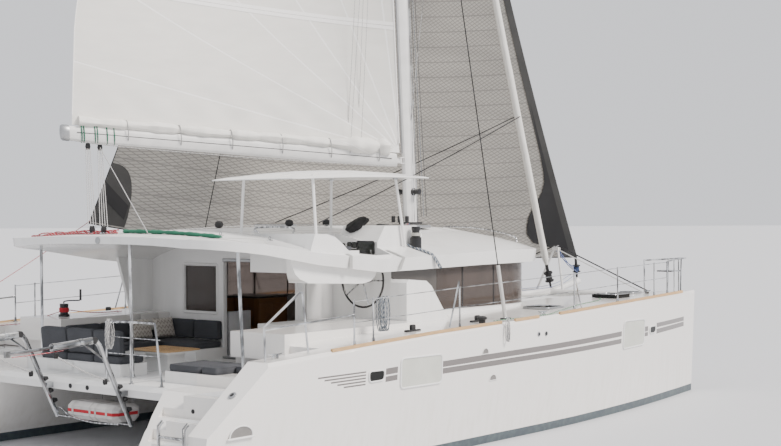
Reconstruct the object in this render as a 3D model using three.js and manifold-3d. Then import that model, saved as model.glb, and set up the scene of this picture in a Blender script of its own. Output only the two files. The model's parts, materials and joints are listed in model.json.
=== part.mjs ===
// Sailing catamaran of about 14 m, afloat with her mainsail and light-air headsail set.
// Millimetres. Origin amidships at the waterline, +X to the bows, +Y to port, +Z up.
import * as THREE from "three";
import { mergeVertices } from "three/addons/utils/BufferGeometryUtils.js";
import Module from "manifold-3d";

const wasm = await Module();
wasm.setup();

// Driving dimensions of the hulls
const HALF_LENGTH = 6980;
const HALF_BEAM = 3920;
const HULL_CENTRE = 2975;
const HULL_INNER = 1900;
const STEM_HALF_WIDTH = 30;
const STERN_TUCK = 540;
const FULL_BEAM_UP_TO = 300;
const INNER_SIDE_UP_TO = 3600;
const CHINE_HEIGHT = 150;
const DECK_BEVEL = 70;
const DECK_RISE = 45;
const STEM_RAKE = 0.075;
const GAP = 0.3;

// Bridge deck, cockpit and saloon
const FLOOR = 1150;
const UNDERSIDE = 850;
const BEAM_AFT = -5850;
const BEAM_BOTTOM = 980;
const BEAM_LIP = 1080;
const FOREDECK_BACK = 2200;
const FOREDECK_TOP = 1920;
const COAMING = { aft: -4700, front: -1750, outer: 2950, top: 1860 };
const WALL = 60;
const SALOON_HALF_WIDTH = 2350;
const BULKHEAD_X = -2405;
const HELM_WALL_X = -1700;
const HELM_WALL_Y = -1150;
const WINDOW = { low: 1990, high: 2640 };

// Coachroof
const ROOF_AFT = -5500;
const ROOF_FRONT = 2950;
const ROOF_HALF_WIDTH = 2550;
const HELM_WELL = { aft: -3650, front: -1750, outer: -2400, inner: -1250 };

// Rig
const MAST_X = 1740;
const MAST_FOOT = 3200;
const MAST_TOP = 22900;
const MAST_RAKE = 0.061;
const GOOSENECK = 4480;
const BOOM_PIN = 215;
const BOOM_ANGLE = -29.4;
const BOOM_LENGTH = 6030;
const BOOM_RISE = 0.121;
const SAIL_HEIGHT = 17600;
const HOUNDS = 18300;
const CHAINPLATE = { x: -400, y: 3600 };
const CROSSBEAM_X = 6350;
const CROSSBEAM_Z = 1850;
const POLE_TIP = { x: 7480, z: 2050 };

// Heights of the hulls' side edge at each station, in pairs of x and z
const SHEER = [
  [-6980, 1529], [-6000, 1582], [-5000, 1632], [-4000, 1678], [-2500, 1740],
  [2500, 1880], [3600, 1897], [4800, 1910], [6980, 1920],
];
// Depth of the hulls' centreline, in pairs of x and z
const ROCKER = [
  [-6980, -130], [-6000, -330], [-4500, -520], [-2500, -610], [1000, -640],
  [3600, -600], [5500, -500], [6600, -380], [6980, -300],
];
// Lower edge of the roof's side, in pairs of x and z
const ROOF_LIP = [
  [-5500, 3035], [-4600, 2930], [-3500, 2760], [-2100, 2610], [-1000, 2625],
  [500, 2650], [2950, 2665],
];
// Height of the roof's side face, in pairs of x and height
const ROOF_FASCIA = [[-5500, 120], [-4600, 150], [-2100, 200], [1500, 230], [2950, 200]];
// Ceiling and top of the roof on the centreline, in triples of x, ceiling and top
const ROOF_SPINE = [
  [-5500, 3080, 3190], [-4600, 3090, 3250], [-2100, 3080, 3300], [1500, 3060, 3300],
  [2400, 2960, 3180], [2950, 2700, 2905],
];

const WHITE = { color: 0xf0efec, roughness: 0.3, metalness: 0 };
const FINISHES = {
  gelcoat: WHITE,
  antifoul: { color: 0x39424c, roughness: 0.8, metalness: 0 },
  stainless: { color: 0xc9ccd0, roughness: 0.25, metalness: 1 },
  spar: { color: 0xe4e4e2, roughness: 0.35, metalness: 0.3 },
  sailcloth: { color: 0xe9e7e2, roughness: 0.8, metalness: 0 },
  laminate: { color: 0x9c9a94, roughness: 0.6, metalness: 0 },
  glass: { color: 0x3a332c, roughness: 0.1, metalness: 0 },
  teak: { color: 0xb88a54, roughness: 0.7, metalness: 0 },
  joinery: { color: 0xa8763f, roughness: 0.5, metalness: 0 },
  cushion: { color: 0x3d3f42, roughness: 0.9, metalness: 0 },
  pillow: { color: 0xb9b5ab, roughness: 0.9, metalness: 0 },
  black: { color: 0x17181a, roughness: 0.5, metalness: 0 },
  net: { color: 0xd8d8d4, roughness: 0.9, metalness: 0 },
  engine: { color: 0x6f767c, roughness: 0.6, metalness: 0.4 },
  bronze: { color: 0x9a8350, roughness: 0.35, metalness: 1 },
};
const finishes = {};
for (const [name, values] of Object.entries(FINISHES)) {
  finishes[name] = new THREE.MeshStandardMaterial(values);
}

// Tools for solids

const at = (x, y, z) => new THREE.Vector3(x, y, z);

function geometryOf(solid) {
  const mesh = solid.getMesh();
  const geometry = new THREE.BufferGeometry();
  geometry.setAttribute("position", new THREE.BufferAttribute(mesh.vertProperties, 3));
  geometry.setIndex(new THREE.BufferAttribute(mesh.triVerts, 1));
  return geometry;
}

// Merges a closed geometry's points, drops faces that have closed up, and turns it to face outwards
function solidOf(geometry) {
  const bare = new THREE.BufferGeometry();
  bare.setAttribute("position", geometry.getAttribute("position"));
  bare.setIndex(geometry.getIndex());
  const merged = mergeVertices(bare, 1e-3);
  const index = merged.getIndex().array;
  const points = merged.getAttribute("position");
  const corner = (i) => new THREE.Vector3().fromBufferAttribute(points, i);
  const faces = [];
  let volume = 0;
  for (let i = 0; i < index.length; i += 3) {
    const [a, b, c] = [index[i], index[i + 1], index[i + 2]];
    if (a === b || b === c || c === a) continue;
    faces.push([a, b, c]);
    volume += corner(a).dot(corner(b).cross(corner(c)));
  }
  const outward = volume > 0 ? faces : faces.map(([a, b, c]) => [a, c, b]);
  const triVerts = new Uint32Array(outward.flat());
  return new wasm.Manifold(new wasm.Mesh({ numProp: 3, vertProperties: points.array, triVerts }));
}

// A copy of a solid put in another place by a matrix, which may mirror it
const placed = (solid, matrix) => solidOf(geometryOf(solid).applyMatrix4(matrix));
const shifted = (solid, x, y, z) => placed(solid, new THREE.Matrix4().makeTranslation(x, y, z));
const mirrored = (solid) => placed(solid, new THREE.Matrix4().makeScale(1, -1, 1));
const union = (solids) => solids.reduce((sum, solid) => sum.add(solid));

// A solid through closed loops of points, each with the same number, capped by fans about its middle
function loft(loops) {
  const count = loops[0].length;
  const points = loops.flat();
  const faces = [];
  for (let i = 0; i + 1 < loops.length; i++) {
    for (let j = 0; j < count; j++) {
      const k = (j + 1) % count;
      const [a, b, c, d] = [i * count + j, i * count + k, (i + 1) * count + k, (i + 1) * count + j];
      faces.push([a, b, c], [a, c, d]);
    }
  }
  for (const [start, turn] of [[0, true], [(loops.length - 1) * count, false]]) {
    const middle = at(0, 0, 0);
    for (let j = 0; j < count; j++) middle.addScaledVector(points[start + j], 1 / count);
    points.push(middle);
    for (let j = 0; j < count; j++) {
      const face = [start + j, start + ((j + 1) % count), points.length - 1];
      faces.push(turn ? face.reverse() : face);
    }
  }
  const geometry = new THREE.BufferGeometry().setFromPoints(points);
  geometry.setIndex(faces.flat());
  return solidOf(geometry);
}

// A thin solid about a grid of points, half its thickness to each side along the way given for each point
function skin(rows, ways, thickness) {
  const [m, n] = [rows.length, rows[0].length];
  const side = (sign) => rows.flatMap((row, i) => {
    return row.map((p, j) => p.clone().addScaledVector(ways[i][j], (sign * thickness) / 2));
  });
  const points = [...side(1), ...side(-1)];
  const faces = [];
  const quad = (a, b, c, d) => faces.push([a, b, c], [a, c, d]);
  const id = (i, j, layer) => layer * m * n + i * n + j;
  for (let i = 0; i + 1 < m; i++) {
    for (let j = 0; j + 1 < n; j++) {
      quad(id(i, j, 0), id(i, j + 1, 0), id(i + 1, j + 1, 0), id(i + 1, j, 0));
      quad(id(i, j, 1), id(i + 1, j, 1), id(i + 1, j + 1, 1), id(i, j + 1, 1));
    }
    quad(id(i, 0, 0), id(i + 1, 0, 0), id(i + 1, 0, 1), id(i, 0, 1));
    quad(id(i, n - 1, 1), id(i + 1, n - 1, 1), id(i + 1, n - 1, 0), id(i, n - 1, 0));
  }
  for (let j = 0; j + 1 < n; j++) {
    quad(id(0, j, 1), id(0, j + 1, 1), id(0, j + 1, 0), id(0, j, 0));
    quad(id(m - 1, j, 0), id(m - 1, j + 1, 0), id(m - 1, j + 1, 1), id(m - 1, j, 1));
  }
  const geometry = new THREE.BufferGeometry().setFromPoints(points);
  geometry.setIndex(faces.flat());
  return solidOf(geometry);
}

function box(x0, x1, y0, y1, z0, z1) {
  const geometry = new THREE.BoxGeometry(x1 - x0, y1 - y0, z1 - z0);
  geometry.translate((x0 + x1) / 2, (y0 + y1) / 2, (z0 + z1) / 2);
  return solidOf(geometry);
}

function plate(outline, thickness, matrix) {
  const shape = new THREE.Shape(outline.map(([u, v]) => new THREE.Vector2(u, v)));
  const geometry = new THREE.ExtrudeGeometry(shape, { depth: thickness, bevelEnabled: false });
  return solidOf(geometry.applyMatrix4(matrix));
}

// An outline of [x, z] pairs carried from y0 to y1
function along(outline, y0, y1) {
  const upright = new THREE.Matrix4().makeTranslation(0, y1, 0);
  return plate(outline, y1 - y0, upright.multiply(new THREE.Matrix4().makeRotationX(Math.PI / 2)));
}

// An outline of [y, z] pairs carried from x0 to x1
function athwart(outline, x0, x1) {
  const facing = new THREE.Matrix4().makeBasis(at(0, 1, 0), at(0, 0, 1), at(1, 0, 0));
  return plate(outline, x1 - x0, new THREE.Matrix4().makeTranslation(x0, 0, 0).multiply(facing));
}

// An outline of [x, y] pairs raised from z0 to z1
const raised = (outline, z0, z1) => plate(outline, z1 - z0, new THREE.Matrix4().makeTranslation(0, 0, z0));

// A bar along straight stretches, mitred at each corner; radii is one radius or one for each point
function bar(points, radii, sides = 8) {
  const radiusAt = (i) => (Array.isArray(radii) ? radii[i] : radii);
  const last = points.length - 1;
  const ways = points.slice(1).map((p, i) => p.clone().sub(points[i]).normalize());
  let side = Math.abs(ways[0].z) < 0.9 ? at(0, 0, 1) : at(1, 0, 0);
  const loops = points.map((p, i) => {
    const before = ways[Math.max(i - 1, 0)];
    const after = ways[Math.min(i, last - 1)];
    const way = before.clone().add(after).normalize();
    side = side.clone().addScaledVector(before, -side.dot(before)).normalize();
    const other = before.clone().cross(side).normalize();
    return Array.from({ length: sides }, (_, k) => {
      const angle = (2 * Math.PI * (k + 0.5)) / sides;
      const out = side.clone().multiplyScalar(Math.cos(angle)).addScaledVector(other, Math.sin(angle));
      out.multiplyScalar(radiusAt(i));
      return p.clone().add(out.addScaledVector(before, -out.dot(way) / before.dot(way)));
    });
  });
  return loft(loops);
}

const rod = (from, to, radius, sides = 8) => bar([from, to], radius, sides);

// A turned solid about an axis through a point; profile holds [radius, height] pairs from axis to axis
function turned(profile, centre, direction = at(0, 0, 1), sides = 16) {
  const geometry = new THREE.LatheGeometry(profile.map(([r, h]) => new THREE.Vector2(r, h)), sides);
  const turn = new THREE.Quaternion().setFromUnitVectors(at(0, 1, 0), direction.clone().normalize());
  return solidOf(geometry.applyQuaternion(turn).translate(centre.x, centre.y, centre.z));
}

// A value read from a table of pairs by straight lines between its rows
function read(table, x, column = 1) {
  const last = table.length - 1;
  if (x <= table[0][0]) return table[0][column];
  for (let i = 0; i < last; i++) {
    const [x0, x1] = [table[i][0], table[i + 1][0]];
    if (x <= x1) return table[i][column] + ((table[i + 1][column] - table[i][column]) * (x - x0)) / (x1 - x0);
  }
  return table[last][column];
}

// Hulls

const sheerHeight = (x) => read(SHEER, x);
const deckHeight = (x) => sheerHeight(x) + DECK_RISE;

function outerSide(x) {
  const t = Math.min(Math.max((x - FULL_BEAM_UP_TO) / (HALF_LENGTH - FULL_BEAM_UP_TO), 0), 1);
  return HALF_BEAM - (HALF_BEAM - HULL_CENTRE - STEM_HALF_WIDTH) * t ** 1.68;
}

function innerSide(x) {
  const bow = Math.min(Math.max((x - INNER_SIDE_UP_TO) / (HALF_LENGTH - INNER_SIDE_UP_TO), 0), 1);
  const stern = Math.min(Math.max((BEAM_AFT - x) / (BEAM_AFT + HALF_LENGTH), 0), 1);
  return HULL_INNER + (HULL_CENTRE - STEM_HALF_WIDTH - HULL_INNER) * bow ** 1.6 + STERN_TUCK * stern ** 1.15;
}

// One section of the port hull: deck edge, topsides, an arc of bottom from chine to chine, inner side
function hullSection(station) {
  const [outer, inner] = [outerSide(station), innerSide(station)];
  const [sheer, keel] = [sheerHeight(station), read(ROCKER, station)];
  const bow = Math.max(station, 0) / HALF_LENGTH;
  const outerChine = (outer - HULL_CENTRE) * 0.78;
  const innerChine = Math.min(645 * (1 - bow ** 2) + 20, (HULL_CENTRE - inner) * 0.95);
  const bevel = Math.min(DECK_BEVEL, (outer - HULL_CENTRE) * 0.5);
  const low = station <= INNER_SIDE_UP_TO ? inner : inner * 0.6 + (HULL_CENTRE - innerChine) * 0.4;
  const ring = [[outer - bevel, sheer + DECK_RISE], [outer, sheer]];
  ring.push([HULL_CENTRE + outerChine + (outer - HULL_CENTRE - outerChine) * 0.7, 900]);
  const steps = 8;
  for (let k = 0; k <= steps; k++) {
    const angle = (Math.PI * k) / steps;
    const across = Math.cos(angle);
    const reach = across > 0 ? outerChine : innerChine;
    const y = HULL_CENTRE + reach * Math.sign(across) * Math.abs(across) ** 0.75;
    ring.push([y, CHINE_HEIGHT - (CHINE_HEIGHT - keel) * Math.sin(angle) ** 0.85]);
  }
  ring.push([low, UNDERSIDE], [inner, sheer + DECK_RISE]);
  const raked = Math.min(Math.max((station - 4000) / 2500, 0), 1);
  return ring.map(([y, z]) => at(station - STEM_RAKE * raked * (sheer + DECK_RISE - z), y, z));
}

const STATIONS = [
  -6980, -6750, -6500, -6000, -5850, -5000, -4000, -2500, -1000, 500, 1500, 2500, 3600, 4200, 4800, 5400,
  5900, 6300, 6600, 6800, 6980,
];
// Edge of each stern step and its height, from the landing down to the platform
const STERN_STEPS = [[-4600, 1310], [-5340, FLOOR], [-6200, 860], [-6500, 600], [-6750, 350]];
const LANDING = STERN_STEPS[0][1];
const STAIR_OUTER = 3500;
const RIM_WIDTH = 130;
const ENGINE_ROOM = { aft: -5250, front: -4770, inner: 2720, outer: 3400, low: 0 };
const HATCH_TOP = LANDING + 40;
const HATCH_FRONT = COAMING.aft - 15;

// The sloping stern, lower along the inner side than along the outer
function sternCut() {
  const edge = sheerHeight(-5950) + DECK_RISE;
  const outer = [[-5950, 2600], [-5950, edge], [-6985, 800], [-7400, 800], [-7400, 2600]];
  const inner = [[-5340, 2600], [-5340, FLOOR], [-5970, FLOOR], [-6990, 350], [-7400, 350], [-7400, 2600]];
  return along(outer, 1000, 4200).add(along(inner, 1000, innerSide(-HALF_LENGTH) + RIM_WIDTH));
}

// The steps, open to the cockpit down to its floor and rimmed along the inner side below it
function stairCut() {
  return union(STERN_STEPS.map(([nose, height]) => {
    if (height >= FLOOR) return box(-7600, nose, HULL_INNER - 100, STAIR_OUTER, height, 2600);
    const stops = [-HALF_LENGTH, -6750, -6500, -6250].filter((x) => x < nose);
    const rim = [...stops, nose].map((x) => [x, innerSide(x) + RIM_WIDTH]);
    return raised([[nose, STAIR_OUTER], [-7600, STAIR_OUTER], [-7600, rim[0][1]], ...rim], height, 2600);
  }));
}

function portHull() {
  const shell = loft(STATIONS.map(hullSection));
  const { aft, front, inner, outer, low } = ENGINE_ROOM;
  const room = box(aft, front, inner, outer, low, LANDING + 10);
  const coaming = box(COAMING.aft, COAMING.front, HULL_INNER, COAMING.outer, 1500, COAMING.top);
  return shell.subtract(sternCut()).subtract(stairCut()).subtract(room).add(coaming);
}

// A foil's outline about its chord, from the trailing edge round the nose, flat-ended
function foil(chord, thickness, centre) {
  const half = [[0, 0.08], [0.25, 0.62], [0.5, 0.95], [0.7, 1], [0.88, 0.72], [0.97, 0.35]];
  const upper = half.map(([u, w]) => [centre + chord * (u - 0.5), (w * thickness) / 2]);
  const lower = upper.map(([u, w]) => [u, -w]).reverse();
  return [...upper, [centre + chord / 2, 0], ...lower];
}

// A fin under the hull's centreline; rows hold height, chord, thickness and the chord's middle
function fin(rows) {
  const loop = ([z, ...section]) => foil(...section).map(([u, w]) => at(u, HULL_CENTRE + w, z));
  return loft(rows.map(loop));
}

const KEEL_ROWS = [[-560, 2900, 330, 350], [-900, 2750, 300, 300], [-1300, 2500, 260, 250]];
const RUDDER_AXIS = -6050;
const RUDDER_BEARING = -345;
const RUDDER_ROWS = [[-400, 560, 70, -6110], [-900, 520, 60, -6120], [-1250, 420, 46, -6125]];
const DRIVE = { x: -4950, z: -930, hub: 75, propeller: -5230, blade: 235 };

// The flat-faced bearing under the hull that the rudder's stock turns against
const onRudderAxis = (z) => at(RUDDER_AXIS, HULL_CENTRE, z);
const rudderBearing = () => rod(onRudderAxis(RUDDER_BEARING), onRudderAxis(-150), 60, 16);

const keel = () => fin(KEEL_ROWS).subtract(shifted(hull, 0, 0, -GAP));

function rudder() {
  const stock = rod(onRudderAxis(-450), onRudderAxis(RUDDER_BEARING - GAP), 28, 12);
  return fin(RUDDER_ROWS).add(stock);
}

function saildrive() {
  const leg = fin([[-430, 330, 120, DRIVE.x], [DRIVE.z, 260, 90, DRIVE.x - 20]]);
  const profile = [[0, -230], [45, -170], [DRIVE.hub, 0], [DRIVE.hub, 150], [0, 150]];
  const pod = turned(profile, at(DRIVE.x - 20, HULL_CENTRE, DRIVE.z), at(-1, 0, 0));
  return leg.add(pod).subtract(shifted(hull, 0, 0, -GAP));
}

function propeller() {
  const y = HULL_CENTRE;
  const start = DRIVE.x - 170 - GAP;
  const hub = turned([[0, 0], [62, 0], [60, 90], [30, 150], [0, 160]], at(start, y, DRIVE.z), at(-1, 0, 0));
  const blades = [0, 1, 2].map((k) => {
    const angle = (2 * Math.PI * k) / 3;
    const [cos, sin] = [Math.cos(angle), Math.sin(angle)];
    const point = (r, turn, shift) => {
      return at(start - 55 + shift, y + r * cos - turn * sin, DRIVE.z + r * sin + turn * cos);
    };
    const section = (r, half, twist) => [
      point(r, -half, -twist - 6), point(r, -half, -twist + 6), point(r, half, twist + 6),
      point(r, half, twist - 6),
    ];
    return loft([section(40, 30, 22), section(130, 62, 26), section(205, 55, 18), section(DRIVE.blade, 24, 8)]);
  });
  return union([hub, ...blades]);
}

const engine = () => box(-5210, -4800, 2750, 3250, GAP, 650);

// The lid over the engine room, in the landing above the stern steps
const engineHatch = () => box(-5310, HATCH_FRONT, 2690, 3460, LANDING + GAP, HATCH_TOP);

// A hatch lid that drops over its seat on the foredeck
function foreHatch() {
  const z = deckHeight(4350) + GAP;
  const lid = box(3850, 4350, 2560, 3060, z, z + 62);
  return lid.subtract(box(3862, 4338, 2572, 3048, z - 1, z + 44));
}

// Coamed seat for the fore hatch, part of the hull's deck
function foreHatchSeat() {
  const z = deckHeight(3900);
  return box(3900, 4300, 2610, 3010, z - 60, z + 38);
}

// Bridge deck from the aft beam to the foredeck, with the cockpit and saloon floor between

function bridgeDeck() {
  const side = HULL_INNER - GAP;
  return along([
    [BEAM_AFT, BEAM_BOTTOM], [-5200, UNDERSIDE], [2600, UNDERSIDE], [3300, 1250], [3600, 1680],
    [3600, FOREDECK_TOP], [FOREDECK_BACK, FOREDECK_TOP], [FOREDECK_BACK, FLOOR], [BEAM_AFT + 40, FLOOR],
    [BEAM_AFT, BEAM_LIP],
  ], -side, side);
}

// Coachroof: a cambered shell in plan with round corners

function roofHalfWidth(x) {
  const corner = (reach, radius) => {
    return reach < radius ? radius - Math.sqrt(radius ** 2 - (radius - reach) ** 2) : 0;
  };
  return ROOF_HALF_WIDTH - corner(x - ROOF_AFT, 750) - corner(ROOF_FRONT - x, 1300);
}

function roofSurface(x, share, column) {
  const lip = read(ROOF_LIP, x) + (column === 2 ? read(ROOF_FASCIA, x) : 0);
  const power = column === 2 ? 2.2 : 3;
  return lip + (read(ROOF_SPINE, x, column) - lip) * (1 - Math.abs(share) ** power);
}

const ROOF_STATIONS = [-5500, -5400, -5200, -4950, -4600, -4000, -3500, -2800, -2100, -1000, 500, 1500,
  2000, 2400, 2700, 2850, 2950];

// A loft over the roof's plan between a height for its upper face and one for its lower
function roofLoft(upper, lower) {
  const shares = [-1, -0.85, -0.65, -0.4, 0, 0.4, 0.65, 0.85, 1];
  return loft(ROOF_STATIONS.map((x) => {
    const half = roofHalfWidth(x);
    const top = shares.map((s) => at(x, s * half, upper(x, s)));
    const bottom = shares.slice().reverse().map((s) => at(x, s * half * 0.985, lower(x, s)));
    return [...top, ...bottom];
  }));
}

const ceiling = (x, share) => roofSurface(x, share, 1);
const roofTop = (x, share) => roofSurface(x, share, 2);

function coachroof() {
  const { aft, front, outer, inner } = HELM_WELL;
  return roofLoft(roofTop, ceiling).subtract(box(aft, front, outer, inner, 2000, 4000));
}

// Saloon walls: a strip carried along a plan path, with its corners mitred

function strip(path, from, to, low, high) {
  const last = path.length - 1;
  const ways = path.slice(1).map(([x, y], i) => new THREE.Vector2(x - path[i][0], y - path[i][1]).normalize());
  const loops = path.map(([x, y], i) => {
    const before = ways[Math.max(i - 1, 0)];
    const after = ways[Math.min(i, last - 1)];
    const normal = new THREE.Vector2(before.y + after.y, -before.x - after.x).normalize();
    const stretch = 1 / Math.max(normal.dot(new THREE.Vector2(before.y, -before.x)), 0.3);
    const corner = (off, height) => {
      const [u, v] = [x + normal.x * off * stretch, y + normal.y * off * stretch];
      return at(u, v, height(u, v));
    };
    return [corner(from, low), corner(to, low), corner(to, () => high), corner(from, () => high)];
  });
  return loft(loops);
}

const SALOON_FRONT = [[1500, 2350], [1850, 2300], [2150, 2120], [2330, 1850], [2600, 1000], [2660, 0]];
const starboardFront = SALOON_FRONT.map(([x, y]) => [x, -y]).reverse().slice(1);
const DOORWAY = { from: -1050, to: 570, low: FLOOR - 50, top: 2740 };
const BULKHEAD_WINDOW = { from: 760, to: 1510, low: 1900, top: 2650 };

// Foot of the walls, a little inside whatever they stand on and cut back to it afterwards
const wallBase = (x, y) => (x < 2200 && Math.abs(y) < HULL_INNER - 0.5 ? FLOOR : deckHeight(x)) - 40;

function windowCutters() {
  const { low, high } = WINDOW;
  const sidePort = box(-650, 1450, 2200, 2500, low, high);
  const front = (a, b) => strip([a, b], -200, 200, () => low, high);
  const shorten = (a, b) => {
    const inset = 70 / Math.hypot(b[0] - a[0], b[1] - a[1]);
    return [a.map((v, i) => v + (b[i] - v) * inset), b.map((v, i) => v + (a[i] - v) * inset)];
  };
  const spans = [[SALOON_FRONT[3], SALOON_FRONT[4]], [SALOON_FRONT[4], SALOON_FRONT[5]]];
  const panes = spans.map(([a, b]) => front(...shorten(a, b)));
  const corner = front(...shorten(SALOON_FRONT[0], SALOON_FRONT[1]));
  const port = union([sidePort, corner, ...panes]);
  return port.add(mirrored(port));
}

function saloonWalls() {
  const helmRun = [
    [HELM_WALL_X, -SALOON_HALF_WIDTH], [HELM_WALL_X, -HULL_INNER + GAP], [HELM_WALL_X, -HULL_INNER + 1],
    [HELM_WALL_X, HELM_WALL_Y], [BULKHEAD_X + WALL, HELM_WALL_Y],
  ];
  const path = [[BULKHEAD_X + WALL, SALOON_HALF_WIDTH], ...SALOON_FRONT, ...starboardFront, ...helmRun];
  const walls = strip(path, -WALL / 2, WALL / 2, wallBase, 2980);
  return underRoof(onDeck(walls.subtract(windowCutters())));
}

// Tinted panes glued over the openings, as one band round the saloon's front
function saloonGlass() {
  const path = [[-790, SALOON_HALF_WIDTH], ...SALOON_FRONT, ...starboardFront, [-585, -SALOON_HALF_WIDTH]];
  const edge = WALL / 2 + GAP;
  const offsets = [-edge - 12, -edge];
  return strip(path, ...offsets, () => WINDOW.low - 35, WINDOW.high + 35);
}

// Bulkhead with the window and the doorway in it, and its port wing, which carries the roof aft
function aftBulkhead() {
  const [floor, outer] = [FLOOR - 20, SALOON_HALF_WIDTH + WALL / 2];
  const [inner, edge, step] = [HELM_WALL_Y - WALL / 2, HULL_INNER - GAP, COAMING.top - 20];
  const outline = [[inner, floor], [edge, floor], [edge, step], [outer, step], [outer, 2980], [inner, 2980]];
  const wall = athwart(outline, BULKHEAD_X - WALL / 2, BULKHEAD_X + WALL / 2 - GAP);
  const hole = ({ from, to, low, top }) => box(-3000, -2000, from, to, low, top);
  const wing = along([[-2400, step], [-2400, 2980], [-3250, 2980], [-2900, step]], outer - WALL, outer);
  return underRoof(onDeck(wall.subtract(hole(DOORWAY)).subtract(hole(BULKHEAD_WINDOW)).add(wing)));
}

function bulkheadPane() {
  const { from, to, low, top } = BULKHEAD_WINDOW;
  return box(BULKHEAD_X - 5, BULKHEAD_X + 5, from + GAP, to - GAP, low + GAP, top - GAP);
}

// The sliding door's two leaves, stacked open behind the window and hung inside the bulkhead
const DOOR = { width: 860, thickness: 26, spacing: 8, from: 690, top: 2700 };

function doorLeaf(track) {
  const x = BULKHEAD_X + WALL / 2 + DOOR.spacing + track * (DOOR.thickness + DOOR.spacing);
  return box(x, x + DOOR.thickness, DOOR.from, DOOR.from + DOOR.width, FLOOR + GAP, DOOR.top);
}

// Helm: seat moulding in the roof's well, console, wheel, hardtop

// The seat with its back and its round belly, and the arm that closes the well's outer side
function helmSeat() {
  const [outer, inner, back] = [HELM_WELL.outer + GAP, HELM_WELL.inner - GAP, HELM_WELL.aft + GAP];
  const seat = [
    [back, 2660], [-3640, 2500], [-2500, 2452], [-2500, 2950], [-3330, 2950], [-3410, 3210], [-3560, 3210],
    [back, 2960],
  ];
  const belly = [
    [-4000, 3000], [-3985, 2800], [-3900, 2640], [-3790, 2560], [-3650, 2515], [-2420, 2450], [-2240, 2480],
    [-2130, 2550], [-2080, 2640], [-2075, 2720], [-2499, 2720],
  ];
  const arm = [
    [back, 2760], [back, 2990], [-3560, 3210], [-3300, 3205], [-3120, 3160], [-2960, 3060], [-2860, 2980],
    [-2720, 2900], [-2540, 2875], [-2540, 2760],
  ];
  const side = onRoof(along(arm, -2475, outer + 60));
  // Aft and inboard of a slanting line, the belly ends and the seat's floor is higher
  const inboard = [[-4300, -2560], [-2560, inner + 100], [-4300, inner + 100]];
  const tub = along(belly, outer, inner).subtract(raised(inboard, 2300, 3100));
  return union([along(seat, outer, inner).subtract(raised(inboard, 2300, 2640)), underRoof(tub), side]);
}

const helmCushion = () => box(-3300, -2540, -2330, -1350, 2950 + GAP, 3020);

function helmConsole() {
  const outline = [[-1740, 2750], [-1740, 3060], [-1560, 3310], [-760, 3310], [-620, 3160], [-620, 2750]];
  return onRoof(along(outline, -2120, -1270));
}

const WHEEL = { x: -1910, y: -1960, z: 2470, radius: 420, tube: 17 };

function steeringWheel() {
  const { x, y, z, radius, tube } = WHEEL;
  const rim = solidOf(new THREE.TorusGeometry(radius, tube, 8, 32).rotateY(Math.PI / 2).translate(x, y, z));
  const spokes = [0, 1, 2, 3, 4].map((k) => {
    const angle = (2 * Math.PI * (k + 0.5)) / 5;
    return rod(at(x, y, z), at(x, y + radius * Math.cos(angle), z + radius * Math.sin(angle)), 9, 6);
  });
  const start = HELM_WALL_X - WALL / 2 - GAP;
  const reach = start - x;
  const profile = [
    [0, 0], [38, 0], [38, 60], [24, 70], [24, reach], [42, reach], [42, reach + 24], [0, reach + 24],
  ];
  const shaft = turned(profile, at(start, y, z), at(-1, 0, 0));
  return union([rim, shaft, ...spokes]);
}

const HARDTOP = { aft: -3880, front: -720, outer: -2450, inner: -560 };
// Foot and top of each of the hardtop's posts, in x and y
const HARDTOP_POSTS = [
  [-3560, -930, -3480, -950], [-3450, -2430, -3450, -2330],
  [-1500, -930, -1500, -950], [-1080, -2190, -1330, -2150],
];

// A slab with round corners and edges, flat below and cambered above, on four posts
function hardtop() {
  const { aft, front, outer, inner } = HARDTOP;
  const [middle, half] = [(aft + front) / 2, (front - aft) / 2];
  const stops = [-1, -0.985, -0.95, -0.88, -0.6, -0.2, 0.2, 0.6, 0.88, 0.95, 0.985, 1];
  const spots = [-1, -0.96, -0.75, -0.3, 0.3, 0.75, 0.96, 1];
  const slab = loft(stops.map((u) => {
    const narrow = 1 - 0.1 * Math.abs(u) ** 30 - 0.03 * u ** 4;
    const floor = 4030 + 30 * u + 25 * (1 - u * u);
    const edge = Math.min(1, 3 * Math.sqrt(1 - Math.abs(u)));
    const y = (s) => (outer + inner) / 2 + (s * narrow * (inner - outer)) / 2;
    const depth = (s) => 14 + edge * Math.sqrt(1 - s * s) * (26 + 84 * (1 - u * u));
    const top = spots.map((s) => at(middle + u * half, y(s), floor + depth(s)));
    const bottom = spots.slice().reverse().map((s) => at(middle + u * half, y(s), floor));
    return [...top, ...bottom];
  }));
  const posts = HARDTOP_POSTS.map(([x, y, topX, topY]) => rod(at(x, y, 2700), at(topX, topY, 4070), 22, 10));
  const seatSpace = box(HELM_WELL.aft - 1, -2300, -3000, HELM_WELL.inner, 2000, 3210 + GAP);
  return onRoof(union(posts)).subtract(seatSpace).add(slab);
}

// Moulded steps up to the helm, outside the saloon wall
function stepPod() {
  const base = (x) => deckHeight(x) + GAP;
  const outline = [
    [-1740, base(-1740)], [-690, base(-690)], [-1120, 2370], [-1250, 2455], [-1690, 2490], [-1740, 2440],
  ];
  const edge = SALOON_HALF_WIDTH + WALL / 2 + GAP;
  return along(outline, -2700, -edge);
}

// Inboard half of the helm deck, a locker beside the cockpit
function helmLocker() {
  return box(-3500, HELM_WALL_X - WALL / 2 - GAP, GAP - HULL_INNER, -1250, FLOOR - 50, COAMING.top);
}

// Posts from the cockpit sides to the roof's overhang

const ROOF_POSTS = {
  roof_post_starboard: { top: [-5020, -2370], foot: [-5150, -2620, LANDING] },
  roof_post_centre: { top: [-5300, -460], foot: [-5230, -440, FLOOR] },
  roof_post_port: { top: [-4920, 2100], foot: [-4980, 2000, LANDING] },
};

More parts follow.
